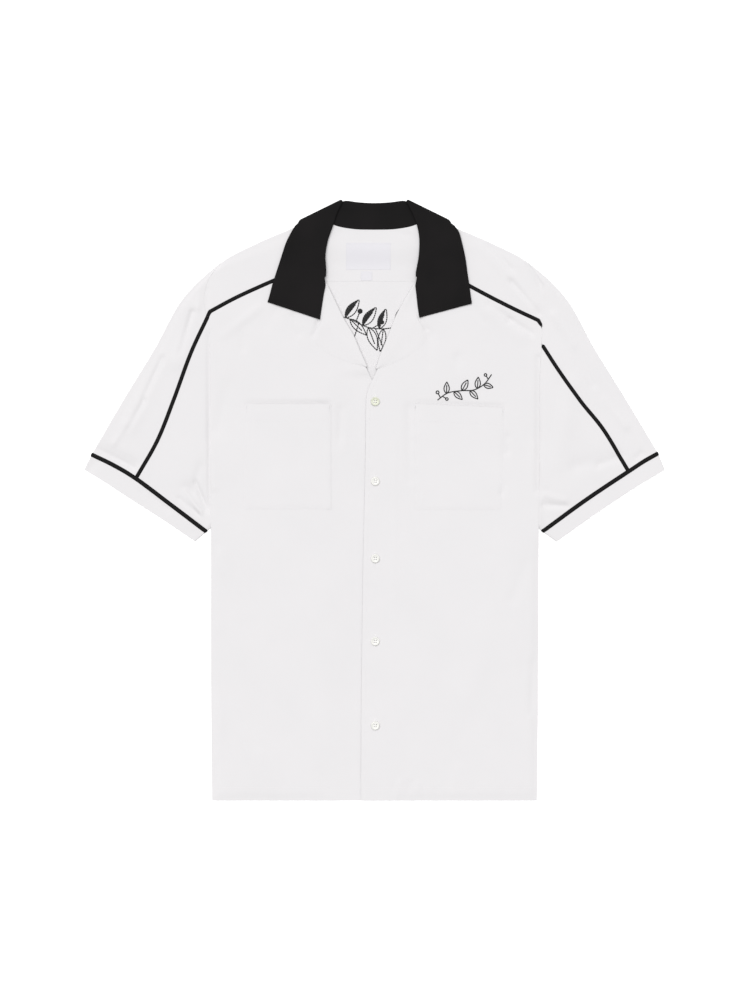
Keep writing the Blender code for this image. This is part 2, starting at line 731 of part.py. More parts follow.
def sleeve_top_row(side, share):
    count = SLEEVE_TOP_STEPS
    (fold, pipe, _, _, far_seam), fold_out, _, pipe_out = sleeve_frame(side, share)
    turn = fold_arc(fold, fold_out, height(SLEEVE_FOLD_LOFT, 4 * share), BACK_LEVEL)
    inner = flat(turn[0])
    armhole_rows = SLEEVE_ARMHOLE[side]
    armhole = [curve_point(armhole_rows, (len(armhole_rows) - 1) * up) for up in steps(count)]
    (_, first_pipe, _, _, _), _, _, first_out = sleeve_frame(side, 0)
    foot = pipe + pipe_out * PIPING_CLEAR
    foot += (armhole[0] - first_pipe - first_out * PIPING_CLEAR) * (1 - share) ** SLEEVE_FOOT_FADE
    armhole_bows = [bow * (1 - share) ** SLEEVE_ARMHOLE_FADE for bow in bows(armhole)]
    cuff = [bow * share**SLEEVE_CUFF_FADE for bow in cuff_bows(side, CUFF_PIPE_ROW, 0, count)]
    row = []
    for i, up in enumerate(steps(count)[:-1]):
        plan = foot.lerp(inner, up) + armhole_bows[i] + cuff[i]
        level = lerp(height(SLEEVE_LOFT, 4 * share), height(SLEEVE_FOLD_LOFT, 4 * share), smooth(up))
        row.append(Vector((*plan, level + crease_height(side, *plan))))
    row += turn
    for i, down in list(enumerate(steps(count)))[1:]:
        plan = inner.lerp(far_seam, down) + cuff[count - i]
        if i == count:
            plan += (inner - far_seam).normalized() * SEAM
        row.append(Vector((*plan, BACK_LEVEL)))
    return row


def sleeve_under_row(side, share):
    count = SLEEVE_UNDER_STEPS
    (_, pipe, mid, under, far_seam), _, under_out, pipe_out = sleeve_frame(side, share)
    turn = fold_arc(under, under_out, height(UNDERARM_LOFT, 4 * share), BACK_LEVEL)
    inner = flat(turn[0])
    start = pipe - pipe_out * PIPING_CLEAR
    cuff = [bow * share**SLEEVE_CUFF_FADE for bow in cuff_bows(side, CUFF_PIPE_ROW, 4, count)]
    ends = [Point(*cuff_point(side, place, -CUFF_PIPING_CLEAR)) for place in (2, 3, 4)]
    bent = [
        bow * share**SLEEVE_CUFF_FADE for bow in bows([curve_point(ends, 2 * down) for down in steps(count)])
    ]
    row = []
    for i, down in enumerate(steps(count)[:-1]):
        plan = curve_point((Point(*start), Point(*mid), Point(*inner)), 2 * down) + cuff[i] - bent[i]
        panel, underarm = height(SLEEVE_LOFT, 4 * share), height(UNDERARM_LOFT, 4 * share)
        loft = lerp(panel, underarm, eased(down, UNDERARM_EASE))
        tuck = smooth((plan.x - TUCK_END_X) / TUCK_WIDTH)
        row.append(Vector((*plan, lerp(TUCK_LEVEL, loft + crease_height(side, *plan), tuck))))
    row += turn
    for i, up in list(enumerate(steps(count)))[1:]:
        plan = inner.lerp(far_seam, up) + cuff[count - i]
        if i == count:
            plan += (inner - far_seam).normalized() * SEAM
        row.append(Vector((*plan, BACK_LEVEL)))
    return row


def add_sleeve(side, cloth):
    top = [sleeve_top_row(side, share) for share in steps(SLEEVE_STEPS)]
    under = [sleeve_under_row(side, share) for share in steps(SLEEVE_STEPS)]
    add_wall(f"sleeve_top_{side}", to_side(side, top), CLOTH, cloth)
    add_wall(f"sleeve_under_{side}", to_side(side, under), CLOTH, cloth)


def cuff_depth(side, place):
    """The cuff's direction from its seam to its edge, as long as it is deep there."""
    return curve_point(CUFF_EDGE[side], place) - curve_point(CUFF_SEAM[side], place)


def cuff_loop(side, share, along, lift, far_z, ridge=0.0):
    """A closed row of points round the cuff, at a share of its depth plus a distance along it."""
    count = CUFF_STEPS
    plans = []
    for i in range(count + 1):
        place = 4 * i / count
        plans.append(cuff_point(side, place, share * cuff_depth(side, place).length + along))
    start_out = left_of(cuff_depth(side, 0).normalized())
    end_out = -left_of(cuff_depth(side, 4).normalized())
    start = fold_arc(plans[0], start_out, CUFF_LOFT[0] + lift, far_z)
    end = fold_arc(plans[-1], end_out, CUFF_LOFT[-1] + lift, far_z)
    near = [Vector((*plans[i], height(CUFF_LOFT, 4 * i / count) + lift + ridge)) for i in range(1, count)]
    far = [Vector((*plans[i], far_z)) for i in range(count - 1, 0, -1)]
    return start[:1] + near + end + far + list(reversed(start))[:-1]


def add_cuff(side, cloth, cord):
    loops = [
        cuff_loop(side, share, along, 0, CUFF_CLOTH / 2)
        for share, along in ((0, CUFF_PIPING_CLEAR), (0.6, 0), (1, 0))
    ]
    add_wall(f"cuff_{side}", to_side(side, loops), CUFF_CLOTH, cloth, ring=True)
    beads = [
        cuff_loop(side, 0, along, 2 * PIPING_LIFT, PIPING_CLOTH / 2 + CUFF_PIPING_GAP, ridge)
        for along, ridge in ((-CUFF_PIPING_HALF, 0), (0, PIPING_RIDGE), (CUFF_PIPING_HALF, 0))
    ]
    add_wall(f"piping_cuff_{side}", to_side(side, beads), PIPING_CLOTH, cord, ring=True)


# ---------------------------------------------------------------------------------- piping


def add_bead(name, side, centre, cord):
    """A flat strip with a raised middle along a line of points."""
    rows = []
    for i, point in enumerate(centre):
        before = centre[max(i - 1, 0)]
        after = centre[min(i + 1, len(centre) - 1)]
        across = left_of(flat(after - before).normalized())
        row = []
        for offset, ridge in ((-PIPING_HALF, 0), (0, PIPING_RIDGE), (PIPING_HALF, 0)):
            plan = flat(point) + across * offset
            row.append(Vector((*plan, point.z + ridge)))
        rows.append(row)
    add_wall(name, to_side(side, rows), PIPING_CLOTH, cord)


def add_piping(side, cord):
    shoulder = []
    for place in steps(PIPING_STEPS):
        x, y = curve_point(SHOULDER_PIPING[side], 4 * place)
        shoulder.append(Vector((x, y, yoke_near_level(side, x, y) + PIPING_LIFT)))
    turn = flat(PIPING_TURN[side])
    shoulder.insert(0, Vector((*turn, yoke_near_level(side, *turn) + PIPING_LIFT)))
    add_bead(f"piping_shoulder_{side}", side, shoulder, cord)
    sleeve = []
    for share in steps(SLEEVE_STEPS):
        x, y = sleeve_points(side, share)[1]
        level = height(SLEEVE_LOFT, 4 * share) + crease_height(side, x, y)
        sleeve.append(Vector((x, y, level + PIPING_LIFT)))
    add_bead(f"piping_sleeve_{side}", side, sleeve, cord)


# ---------------------------------------------------------------------------------- collar


def collar_line(neck, roll, edge, up, outward, reaches):
    """One cross-section of the collar, from the fall's edge over the roll to the neck seam.

    up is the height direction's share and outward the plan direction of the separation between
    the fall and the stand; reaches holds the fall's reach at its edge and at the roll, the roll's
    own reach, and the stand's reach at the roll and at the neck.
    """
    edge_reach, fall_reach, roll_reach, stand_reach, neck_reach = reaches

    def place(plan, reach):
        shifted = plan + outward * (reach - FALL_REACH) if outward.length else plan
        return Vector((*shifted, COLLAR_MIDDLE + up * reach))

    points = []
    for share in steps(FALL_STEPS):
        reach = lerp(edge_reach, fall_reach, eased(share, FALL_EASE))
        points.append(place(edge.lerp(roll, share), reach))
    if neck is None:
        return points
    along = (roll - (edge + neck) / 2).normalized()
    radius = (fall_reach - stand_reach) / 2
    points.pop()
    for share in steps(ROLL_STEPS):
        angle = math.pi * share
        plan = roll + along * (radius * (math.sin(angle) - 1))
        points.append(place(plan, roll_reach + radius * math.cos(angle)))
    inner = roll - along * radius
    for share in steps(STAND_STEPS)[1:]:
        reach = lerp(stand_reach, neck_reach, smooth(share))
        points.append(place(inner.lerp(neck, share), reach))
    return points


def collar_near_line(side, place):
    row = curve(COLLAR_NEAR[side], place)
    neck = Vector((row.neck_x, row.neck_y))
    roll = Vector((row.roll_x, row.roll_y))
    edge = Vector((row.edge_x, row.edge_y))
    edge_reach = row.edge_z - COLLAR_MIDDLE
    roll_reach = row.roll_z - COLLAR_MIDDLE
    still = Vector((0, 0))
    if place < GORGE_ROWS:
        return collar_line(None, roll, edge, 1, still, (edge_reach, roll_reach, 0, 0, 0))
    reaches = (
        edge_reach,
        roll_reach + ROLL_RADIUS,
        roll_reach,
        roll_reach - ROLL_RADIUS,
        row.neck_z - COLLAR_MIDDLE,
    )
    return collar_line(neck, roll, edge, 1, still, reaches)


def collar_fold_line(turn):
    """The cross-section at the fold over the shoulder, at a share of its half turn.

    The fall's corner reaches further along the fold where the turn starts, so that it is round.
    """
    neck = Vector((COLLAR_FOLD.neck_x, COLLAR_FOLD.neck_y))
    roll = Vector((COLLAR_FOLD.roll_x, COLLAR_FOLD.roll_y))
    edge = Vector((COLLAR_FOLD.edge_x, COLLAR_FOLD.edge_y))
    along = (edge - roll).normalized()
    outward = left_of(along)
    corner = edge + along * FALL_CORNER_REACH * clamp(1 - 2 * turn)
    angle = math.pi * turn
    turned = []
    for point in collar_line(neck, roll, corner, 1, Vector((0, 0)), FULL_REACHES):
        reach = point.z - COLLAR_MIDDLE
        plan = flat(point) + outward * (reach * math.sin(angle) - FALL_REACH)
        turned.append(Vector((*plan, COLLAR_MIDDLE + reach * math.cos(angle))))
    return turned


def collar_far_line(row):
    """A cross-section of the collar's far side, upside down."""
    neck = Vector((row.neck_x, row.neck_y))
    roll = Vector((row.roll_x, row.roll_y))
    edge = Vector((row.edge_x, row.edge_y))
    return collar_line(neck, roll, edge, -1, Vector((0, 0)), FULL_REACHES)


def collar_side_rows(side):
    gorge = [collar_near_line(side, share * (GORGE_ROWS - 1)) for share in steps(4)]
    last = len(COLLAR_NEAR[side]) - 1
    count = 2 * (last - GORGE_ROWS)
    stand = [collar_near_line(side, lerp(GORGE_ROWS, last, share)) for share in steps(count)]
    fold = [collar_fold_line(turn) for turn in steps(FOLD_STEPS)]
    far = [collar_far_line(row) for row in COLLAR_FAR]
    return to_side(side, gorge + stand + fold + far)


def add_collar(cloth):
    right = collar_side_rows("right")
    left = collar_side_rows("left")[:-1]
    add_wall("collar", right + left[::-1], COLLAR_CLOTH, cloth)


# ------------------------------------------------------------------------ buttons and labels


def add_button(number, y, shell):
    """A turned disc with a rim, a dished face and four thread holes."""
    profile = (
        ButtonRing(0.0, 0.0),
        ButtonRing(BUTTON_RADIUS - 0.9, 0.0),
        ButtonRing(BUTTON_RADIUS, 0.9),
        ButtonRing(BUTTON_RADIUS - 0.1, BUTTON_THICK - 0.6),
        ButtonRing(BUTTON_RADIUS - 0.8, BUTTON_THICK),
        ButtonRing(BUTTON_RADIUS - 1.6, BUTTON_THICK - 0.1),
        ButtonRing(BUTTON_RADIUS - 2.4, BUTTON_THICK - 0.7),
        ButtonRing(0.0, BUTTON_THICK - 0.7),
    )
    level = FRONT_LEVEL + CLOTH / 2 + LAY_GAP
    vertices = []
    for ring in profile:
        for i in range(BUTTON_SIDES if ring.radius else 1):
            angle = 2 * math.pi * i / BUTTON_SIDES
            x = BUTTON_X + ring.radius * math.cos(angle)
            vertices.append(Vector((x, y + ring.radius * math.sin(angle), level + ring.z)))
    faces = []
    for i in range(BUTTON_SIDES):
        j = (i + 1) % BUTTON_SIDES
        faces.append((0, 1 + j, 1 + i))
        for ring in range(len(profile) - 3):
            low = 1 + ring * BUTTON_SIDES
            high = low + BUTTON_SIDES
            faces.append((low + i, low + j, high + j, high + i))
        top = 1 + (len(profile) - 3) * BUTTON_SIDES
        faces.append((top + i, top + j, len(vertices) - 1))
    button = add_object(f"button_{number}", vertices, faces, shell)
    for turn in range(4):
        angle = math.radians(90 * turn + BUTTON_HOLE_ANGLE)
        x = BUTTON_X + BUTTON_HOLE_OFFSET * math.cos(angle)
        centre = Vector((x, y + BUTTON_HOLE_OFFSET * math.sin(angle), level + BUTTON_THICK / 2))
        bpy.ops.mesh.primitive_cylinder_add(
            vertices=8,
            radius=BUTTON_HOLE_RADIUS * MM,
            depth=3 * BUTTON_THICK * MM,
            location=centre * MM,
            rotation=(0, 0, angle),
        )
        drill = bpy.context.object
        drill.name = f"drill_{number}_{turn}"
        drill.hide_render = True
        drill.display_type = "WIRE"
        cut = button.modifiers.new("thread hole", "BOOLEAN")
        cut.operation = "DIFFERENCE"
        cut.solver = "EXACT"
        cut.object = drill


def add_patch(name, size, centre, cloth):
    """A flat label laid on the inside of the back yoke."""
    rows = []
    for down in steps(LABEL_STEPS):
        y = centre[1] + size[1] * (0.5 - down)
        row = []
        for share in (-0.5, 0.0, 0.5):
            x = centre[0] + size[0] * share
            level = yoke_far_level(x, y) + (CLOTH + LABEL_CLOTH) / 2 + LABEL_GAP
            row.append(Vector((x, y, level)))
        rows.append(row)
    add_wall(name, rows, LABEL_CLOTH, cloth)


def main():
    for obj in list(bpy.data.objects):
        bpy.data.objects.remove(obj, do_unlink=True)
    shirting = material("shirting", (0.86, 0.85, 0.855), 0.8)
    collar_cloth = material("collar_cloth", (0.016, 0.015, 0.016), 0.85)
    cord = material("piping_cloth", (0.014, 0.013, 0.014), 0.7)
    shell = material("button_shell", (0.82, 0.82, 0.78), 0.3)
    satin = material("label_satin", (0.84, 0.84, 0.85), 0.5)
    add_back(shirting)
    add_yoke(shirting)
    add_collar(collar_cloth)
    for side in SIDES:
        add_front(side, shirting)
        add_facing(side, shirting)
        add_pocket(side, shirting)
        add_sleeve(side, shirting)
        add_cuff(side, shirting, cord)
        add_piping(side, cord)
    for number, y in enumerate(BUTTON_ROWS_Y, 1):
        add_button(number, y, shell)
    add_patch("label", LABEL_SIZE, LABEL_CENTRE, satin)
    add_patch("size_tab", TAB_SIZE, TAB_CENTRE, satin)


main()
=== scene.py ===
"""The looks of a short-sleeved bowling shirt laid flat: cloth, seams, stitches, buttons and light.

Sizes are in millimetres until a mesh is made. In the tables x is measured outwards from the centre
line, so that one row serves either side, unless a table says otherwise. A sheet of cloth is a grid
of points in the middle of its thickness; each point also has a weight, which says how much of the
soft folds it takes.
"""

import math
from collections import namedtuple

import bpy
import numpy as np
from mathutils import Matrix, Vector, noise
from mathutils.bvhtree import BVHTree


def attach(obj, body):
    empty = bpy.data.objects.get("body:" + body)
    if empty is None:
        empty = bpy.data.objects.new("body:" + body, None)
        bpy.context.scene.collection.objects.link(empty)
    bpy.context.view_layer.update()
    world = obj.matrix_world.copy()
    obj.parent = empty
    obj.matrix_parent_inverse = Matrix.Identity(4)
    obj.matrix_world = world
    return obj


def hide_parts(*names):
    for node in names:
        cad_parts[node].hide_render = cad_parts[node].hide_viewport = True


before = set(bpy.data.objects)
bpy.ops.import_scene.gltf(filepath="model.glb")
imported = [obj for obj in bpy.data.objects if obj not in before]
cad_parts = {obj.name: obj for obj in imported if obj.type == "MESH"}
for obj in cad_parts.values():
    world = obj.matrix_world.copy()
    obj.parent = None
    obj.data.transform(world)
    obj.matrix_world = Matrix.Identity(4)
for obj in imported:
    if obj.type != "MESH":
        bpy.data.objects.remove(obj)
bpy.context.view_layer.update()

MM = 0.001
TINY = 1e-9
SIDES = {"right": -1, "left": 1}

# Thicknesses: the walls that the fronts' levels were drawn for, and the cloth as it shows
WALL = 1.2
SHIRTING = 0.5
POCKET_CLOTH = 0.4
COLLAR_CLOTH = 1.2
CUFF_CLOTH = 1.0
LABEL_CLOTH = 0.25
FRONT_OUTSET = (WALL - SHIRTING) / 2
SEAM = 0.03
LAY_GAP = 0.03

# Heights of the middle of each layer above the surface
BACK_LEVEL = 0.6
TUCK_LEVEL = 3.68
FRONT_LEVEL = 3.9
UNDER_LEVEL = 2.1
FRONT_TOP = FRONT_LEVEL + WALL / 2
POCKET_BASE = FRONT_TOP + LAY_GAP
POCKET_LIFT = 0.5
PRESSED_EDGE = 0.06
PRESS_WIDTH = 7.0
LAPEL_LEVEL = 5.4
LAPEL_EDGE_LEVEL = FRONT_TOP + LAY_GAP + PRESSED_EDGE / 2
LAPEL_TUCK = 0.6
NOTCH_PLACE = 2.2
NOTCH_REACH = 0.5
NOTCH_LIFT = 0.55
LAPEL_LEG_LEVEL = 2.4
CUFF_FAR_LEVEL = 0.8

# Body
HEM_Y = -390.5
YOKE_SEAM_Y = 284.5
BACK_HEM_HALF = 211.2
BACK_HALF = 212.6
BACK_TAPER_LENGTH = 130.0
ARMPIT_Y = -28.6
ARMPIT_EASE = (-46.0, -30.0)
EDGE_CURL = 12.0
HEM_CURL_SHARE = 0.5
SIDE_CURL_EASE = (-45.0, -75.0)
HEM_LAP_CLEAR = (24.0, 40.0)
LAP_DIP_START = 60.0
LAP_DIP_WIDTH = 54.0
LAP_TOP_EASE = (170.0, 158.0)

# Piping
PIPING_HALF = 2.45
PIPING_RISE = 1.15
PIPING_LIFT = 0.2
PIPING_CLEAR = PIPING_HALF + 0.08
CUFF_PIPING_HALF = 2.65
CUFF_PIPING_RISE = 0.95
CUFF_PIPING_LIFT = 0.35
CUFF_PIPING_FAR = 0.95
CUFF_PIPING_CLEAR = CUFF_PIPING_HALF + 0.1

# The neck, where the body lies raised over the collar's hidden fall
NECK_NEAR_RISE = 0.6
NECK_FAR_RISE = 2.0
NECK_RISE_START = 30.0
NECK_RISE_WIDTH = 28.0

# The yoke behind the neck: the gap at its ends, its share of the soft folds and its half width
NECK_END_CLEAR = 1.3
NECK_LOOSE = 0.8
NECK_LOOSE_HALF = 60.0

# How far in from its seams and edges the cloth takes to lie loose
YOKE_SEAM_EASE = 15.0
NECK_SEAM_EASE = 6.0
NECK_SIDE_EASE = 8.0
BACK_EDGE_EASE = 20.0

# The upper side sinks softly towards the fold over the shoulders
FOLD_DROP = 1.1
FOLD_EASE = 20.0

# Collar
COLLAR_MIDDLE = 3.55
FALL_REACH = 2.85
STAND_REACH = 0.95
ROLL_RADIUS = (FALL_REACH - STAND_REACH) / 2
ROLL_REACH = (FALL_REACH + STAND_REACH) / 2
FALL_CORNER_REACH = 6.5
GORGE_STEP = 0.9
GORGE_EASE = (4.0, 4.6)
FULL_REACHES = (FALL_REACH, FALL_REACH, ROLL_REACH, STAND_REACH, STAND_REACH)

# The collar's fall takes the soft folds inside one part in so many of its width at either edge
FALL_LOOSE = 4

# The lapel is down on the front, and takes the soft folds, at one part in so many of its width
LAPEL_FALL = 1.3
LAPEL_LOOSE = 3
LAPEL_LEG_STOPS = (1.0, 0.5)

# Buttons and labels
BUTTON_RADIUS = 5.7
BUTTON_THICK = 2.4
BUTTON_REST = 0.15
BUTTON_X = 1.0
BUTTON_ROWS_Y = (128.0, 24.5, -76.0, -183.5, -293.0)
BUTTON_HOLE_RADIUS = 0.75
BUTTON_HOLE_OFFSET = 1.9
BUTTON_HOLE_ANGLE = 41.0
STRAND_SHIFTS = (-0.28, 0.0, 0.28)
STRAND_RADIUS = 0.17
STRAND_ARCH = ((0, -0.9), (0.03, 0.05), (0.2, 0.4), (0.5, 0.5), (0.8, 0.4), (0.97, 0.05), (1, -0.9))
LABEL_SIZE = (58.0, 35.0)
LABEL_CENTRE = (-8.0, 317.0)
TAB_SIZE = (15.0, 12.0)
TAB_CENTRE = (-10.5, 291.5)

Point = namedtuple("Point", "x y")
SleeveRow = namedtuple("SleeveRow", "pipe_x pipe_y mid_x mid_y under_x under_y")
FrontRow = namedtuple("FrontRow", "side_x side_y mid_x mid_y edge_x edge_y")
FacingRow = namedtuple("FacingRow", "edge_x edge_y roll_x roll_y")
CollarRow = namedtuple("CollarRow", "neck_x neck_y roll_x roll_y edge_x edge_y neck_z roll_z edge_z")
Crease = namedtuple("Crease", "start_x start_y end_x end_y width height")

FOLD_LINE = (
    Point(71.4, 368.6),
    Point(110.0, 352.0),
    Point(156.0, 332.0),
    Point(200.0, 308.0),
    Point(249.0, 261.5),
    Point(285.5, 197.0),
    Point(325.7, 131.3),
    Point(367.5, 60.0),
)
ARMHOLE_ROW = 3

# The last place in each table of five rows: the shoulder piping's, the sleeves' and the cuffs'
SPAN = 4
SHOULDER_PIPING = {
    "right": (
        Point(214.2, 244.6),
        Point(182.0, 262.0),
        Point(149.0, 277.3),
        Point(116.0, 291.5),
        Point(83.4, 304.9),
    ),
    "left": (
        Point(213.6, 233.1),
        Point(181.4, 248.2),
        Point(148.3, 265.0),
        Point(115.3, 282.7),
        Point(82.4, 300.6),
    ),
}
PIPING_TURN = {"right": Point(216.6, 238.85), "left": Point(217.0, 226.0)}
PIPING_TURN_REACH = 0.1
SLEEVE_PIPING_START = 1.8
ROUND_END = (0.5, 0.85, 0.97)
FRONT_TOP_START = 0.025
SLEEVE_ARMHOLE = {
    "right": (
        Point(218.8, 239.7),
        Point(221.7, 257),
        Point(220.9, 272),
        Point(214, 291),
        Point(200.4, 308),
    ),
    "left": (
        Point(217.3, 203),
        Point(217.4, 214),
        Point(217.7, 224),
        Point(220.2, 230),
        Point(221.6, 252),
        Point(221.4, 269),
        Point(213.8, 291),
        Point(200.4, 308),
    ),
}
YOKE_FOOT_PLACE = {"right": 0.02, "left": 2.35}
BACK_ARMHOLE_TOP = 213.2
BACK_ARMHOLE_FOOT = 201.4
SLEEVE = {
    "right": (
        SleeveRow(216.7, 238.6, 202.5, 104.0, 202.5, -28.6),
        SleeveRow(238.7, 190.7, 220.5, 65.0, 206.5, -31.2),
        SleeveRow(261.0, 130.0, 235.0, 39.0, 210.5, -34.0),
        SleeveRow(282.4, 76.7, 249.0, 15.6, 214.5, -37.5),
        SleeveRow(310.0, 27.7, 264.6, -8.5, 218.9, -41.2),
    ),
    "left": (
        SleeveRow(219.0, 200.0, 203.5, 91.0, 203.5, -28.6),
        SleeveRow(239.8, 167.7, 221.7, 58.5, 207.3, -31.2),
        SleeveRow(268.4, 127.4, 236.0, 36.4, 211.2, -34.0),
        SleeveRow(298.4, 89.7, 251.6, 16.0, 215.2, -37.5),
        SleeveRow(330.0, 37.0, 273.5, 1.6, 219.3, -41.6),
    ),
}
SLEEVE_LOFT = (3.9, 4.6, 4.8, 4.5, 4.0)
SLEEVE_FOLD_LOFT = (3.9, 4.1, 4.1, 3.9, 3.7)
UNDERARM_LOFT = (2.4, 2.4, 2.4, 2.5, 2.6)
TUCK_END_X = 214.5
TUCK_WIDTH = 8.0
CUFF_SEAM = {
    "right": (Point(367.6, 59.1), Point(339, 45.1), Point(310, 27.7), Point(264.1, -6.6), Point(219, -41)),
    "left": (Point(368.3, 60.5), Point(350.6, 50.5), Point(330, 37), Point(274.6, 0), Point(218.6, -40.9)),
}
CUFF_EDGE = {
    "right": (
        Point(377.2, 39.5),
        Point(350, 23),
        Point(321.5, 4.3),
        Point(277, -24.2),
        Point(233.6, -53.6),
    ),
    "left": (Point(377.2, 39.5), Point(360, 29.2), Point(340, 17), Point(288, -17.5), Point(237, -54)),
}
CUFF_LOFT = (3.7, 4.0, 4.0, 3.9, 2.8)
CUFF_PIPE_ROW = 2
CUFF_MID_ROW = 3

FRONT = {
    "right": (
        FrontRow(211.2, -390.5, 96.0, -390.5, -20.0, -390.5),
        FrontRow(212.6, -230.0, 96.0, -235.0, -20.0, -240.0),
        FrontRow(212.6, -60.0, 97.0, -66.0, -20.0, -72.0),
        FrontRow(212.6, 60.0, 98.0, 60.0, -19.0, 60.0),
        FrontRow(212.8, 118.0, 100.0, 121.0, -12.0, 116.0),
        FrontRow(213.0, 147.0, 102.0, 152.0, -2.0, 144.0),
        FrontRow(213.3, 173.0, 105.0, 180.0, 11.5, 173.0),
        FrontRow(213.7, 197.0, 112.0, 207.0, 28.0, 206.0),
        FrontRow(214.1, 216.0, 122.0, 231.0, 44.0, 238.0),
        FrontRow(214.9, 236.0, 134.0, 253.0, 60.0, 268.0),
        FrontRow(212.6, 242.0, 148.0, 273.3, 81.8, 301.0),
    ),
    "left": (
        FrontRow(211.2, -390.5, 97.0, -390.5, -17.6, -390.5),
        FrontRow(212.6, -230.0, 98.0, -235.0, -16.8, -240.0),
        FrontRow(213.3, -60.0, 99.0, -66.0, -14.5, -72.0),
        FrontRow(214.0, 60.0, 100.0, 62.0, -11.6, 60.0),
        FrontRow(214.0, 118.0, 102.0, 122.0, -11.0, 121.0),
        FrontRow(214.2, 145.0, 104.0, 150.0, -8.4, 143.0),
        FrontRow(215.2, 170.0, 108.0, 176.0, 3.8, 170.0),
        FrontRow(216.4, 188.0, 114.0, 200.0, 15.0, 200.0),
        FrontRow(217.3, 206.0, 122.0, 224.0, 29.5, 233.5),
        FrontRow(217.4, 221.5, 134.0, 246.0, 48.5, 267.0),
        FrontRow(212.2, 232.7, 148.0, 264.0, 81.8, 299.5),
    ),
}
FACING = {
    "right": (
        FacingRow(64.5, 281.0, 61.8, 281.0),
        FacingRow(64.3, 256.5, 50.0, 256.5),
        FacingRow(68.6, 233.4, 38.8, 234.0),
        FacingRow(80.0, 211.0, 27.8, 215.5),
        FacingRow(61.0, 190.5, 18.3, 193.5),
        FacingRow(33.0, 178.5, 12.0, 179.5),
        FacingRow(13.8, 173.2, 9.4, 173.2),
    ),
    "left": (
        FacingRow(54.5, 281.0, 51.4, 281.0),
        FacingRow(52.3, 256.0, 37.0, 256.5),
        FacingRow(56.0, 236.0, 26.4, 236.3),
        FacingRow(68.2, 212.5, 17.6, 213.2),
        FacingRow(50.0, 191.0, 8.6, 191.5),
        FacingRow(24.0, 177.5, 3.8, 178.0),
        FacingRow(6.6, 170.6, 1.5, 170.6),
    ),
}
FACING_LEG = 8.0

GORGE_ROWS = 4
COLLAR_NEAR = {
    "right": (
        CollarRow(70.7, 234.2, 70.7, 234.2, 139.0, 257.0, 5.6, 5.6, 5.6),
        CollarRow(69.0, 246.3, 69.0, 246.3, 136.0, 267.0, 5.6, 5.6, 5.9),
        CollarRow(66.0, 266.0, 66.0, 266.0, 132.8, 279.5, 5.8, 5.8, 6.2),
        CollarRow(63.5, 279.0, 63.5, 279.0, 130.6, 286.5, 6.1, 6.1, 6.3),
        CollarRow(73.0, 290.0, 62.8, 290.0, 128.5, 293.0, 3.9, 5.35, 6.3),
        CollarRow(80.0, 302.5, 63.6, 304.0, 125.0, 303.5, 3.9, 5.4, 6.3),
        CollarRow(79.8, 317.0, 64.1, 319.4, 121.0, 316.0, 4.1, 5.45, 6.4),
        CollarRow(76.2, 336.0, 60.6, 338.5, 115.2, 333.5, 4.5, 5.45, 6.4),
        CollarRow(73.0, 352.5, 54.5, 356.0, 108.6, 347.0, 4.5, 5.45, 6.4),
        CollarRow(71.0, 361.5, 49.0, 373.0, 103.3, 356.0, 4.5, 5.45, 6.4),
    ),
    "left": (
        CollarRow(58.2, 236.8, 58.2, 236.8, 126.5, 255.1, 5.6, 5.6, 5.6),
        CollarRow(56.0, 251.6, 56.0, 251.6, 124.8, 267.0, 5.6, 5.6, 5.9),
        CollarRow(54.2, 268.0, 54.2, 268.0, 123.5, 277.5, 5.8, 5.8, 6.2),
        CollarRow(53.0, 279.0, 53.0, 279.0, 122.4, 284.5, 6.1, 6.1, 6.3),
        CollarRow(66.0, 288.0, 53.2, 289.9, 121.0, 293.0, 3.9, 5.35, 6.3),
        CollarRow(80.0, 302.5, 55.6, 303.0, 119.6, 304.0, 3.9, 5.4, 6.3),
        CollarRow(79.8, 317.0, 58.0, 317.0, 117.6, 317.0, 4.1, 5.45, 6.4),
        CollarRow(76.2, 336.0, 58.8, 338.0, 113.5, 335.0, 4.5, 5.45, 6.4),
        CollarRow(73.0, 352.5, 56.0, 356.0, 110.0, 347.5, 4.5, 5.45, 6.4),
        CollarRow(71.0, 361.5, 49.5, 373.0, 104.0, 356.2, 4.5, 5.45, 6.4),
    ),
}
COLLAR_FOLD = CollarRow(70.4, 369.6, 43.1, 390.2, 95.2, 364.6, 0, 0, 0)
COLLAR_FAR = (
    CollarRow(61.8, 361.9, 36.0, 388.6, 91.0, 346.0, 0, 0, 0),
    CollarRow(47.0, 355.6, 24.0, 387.0, 64.0, 336.0, 0, 0, 0),
    CollarRow(25.0, 352.0, 12.0, 386.0, 33.0, 332.0, 0, 0, 0),
    CollarRow(0.0, 351.4, 0.0, 385.6, 0.0, 331.0, 0, 0, 0),
)
HIDDEN_FALL = (
    Point(0.0, 331.0),
    Point(33.0, 332.0),
    Point(64.0, 336.0),
    Point(92.0, 344.0),
    Point(102.0, 358.0),
    Point(112.0, 374.0),
    Point(400.0, 900.0),
)
POCKET = {
    "right": (Point(56.6, 124.8), Point(168.0, 125.0), Point(171.0, -12.0), Point(56.6, -12.0)),
    "left": (Point(51.4, 125.0), Point(168.5, 120.0), Point(164.5, -13.0), Point(52.6, -13.0)),
}
POCKET_HEM = 22.0

# The pocket's mouth stands off over one part in so many of its depth
POCKET_GAPE = 3

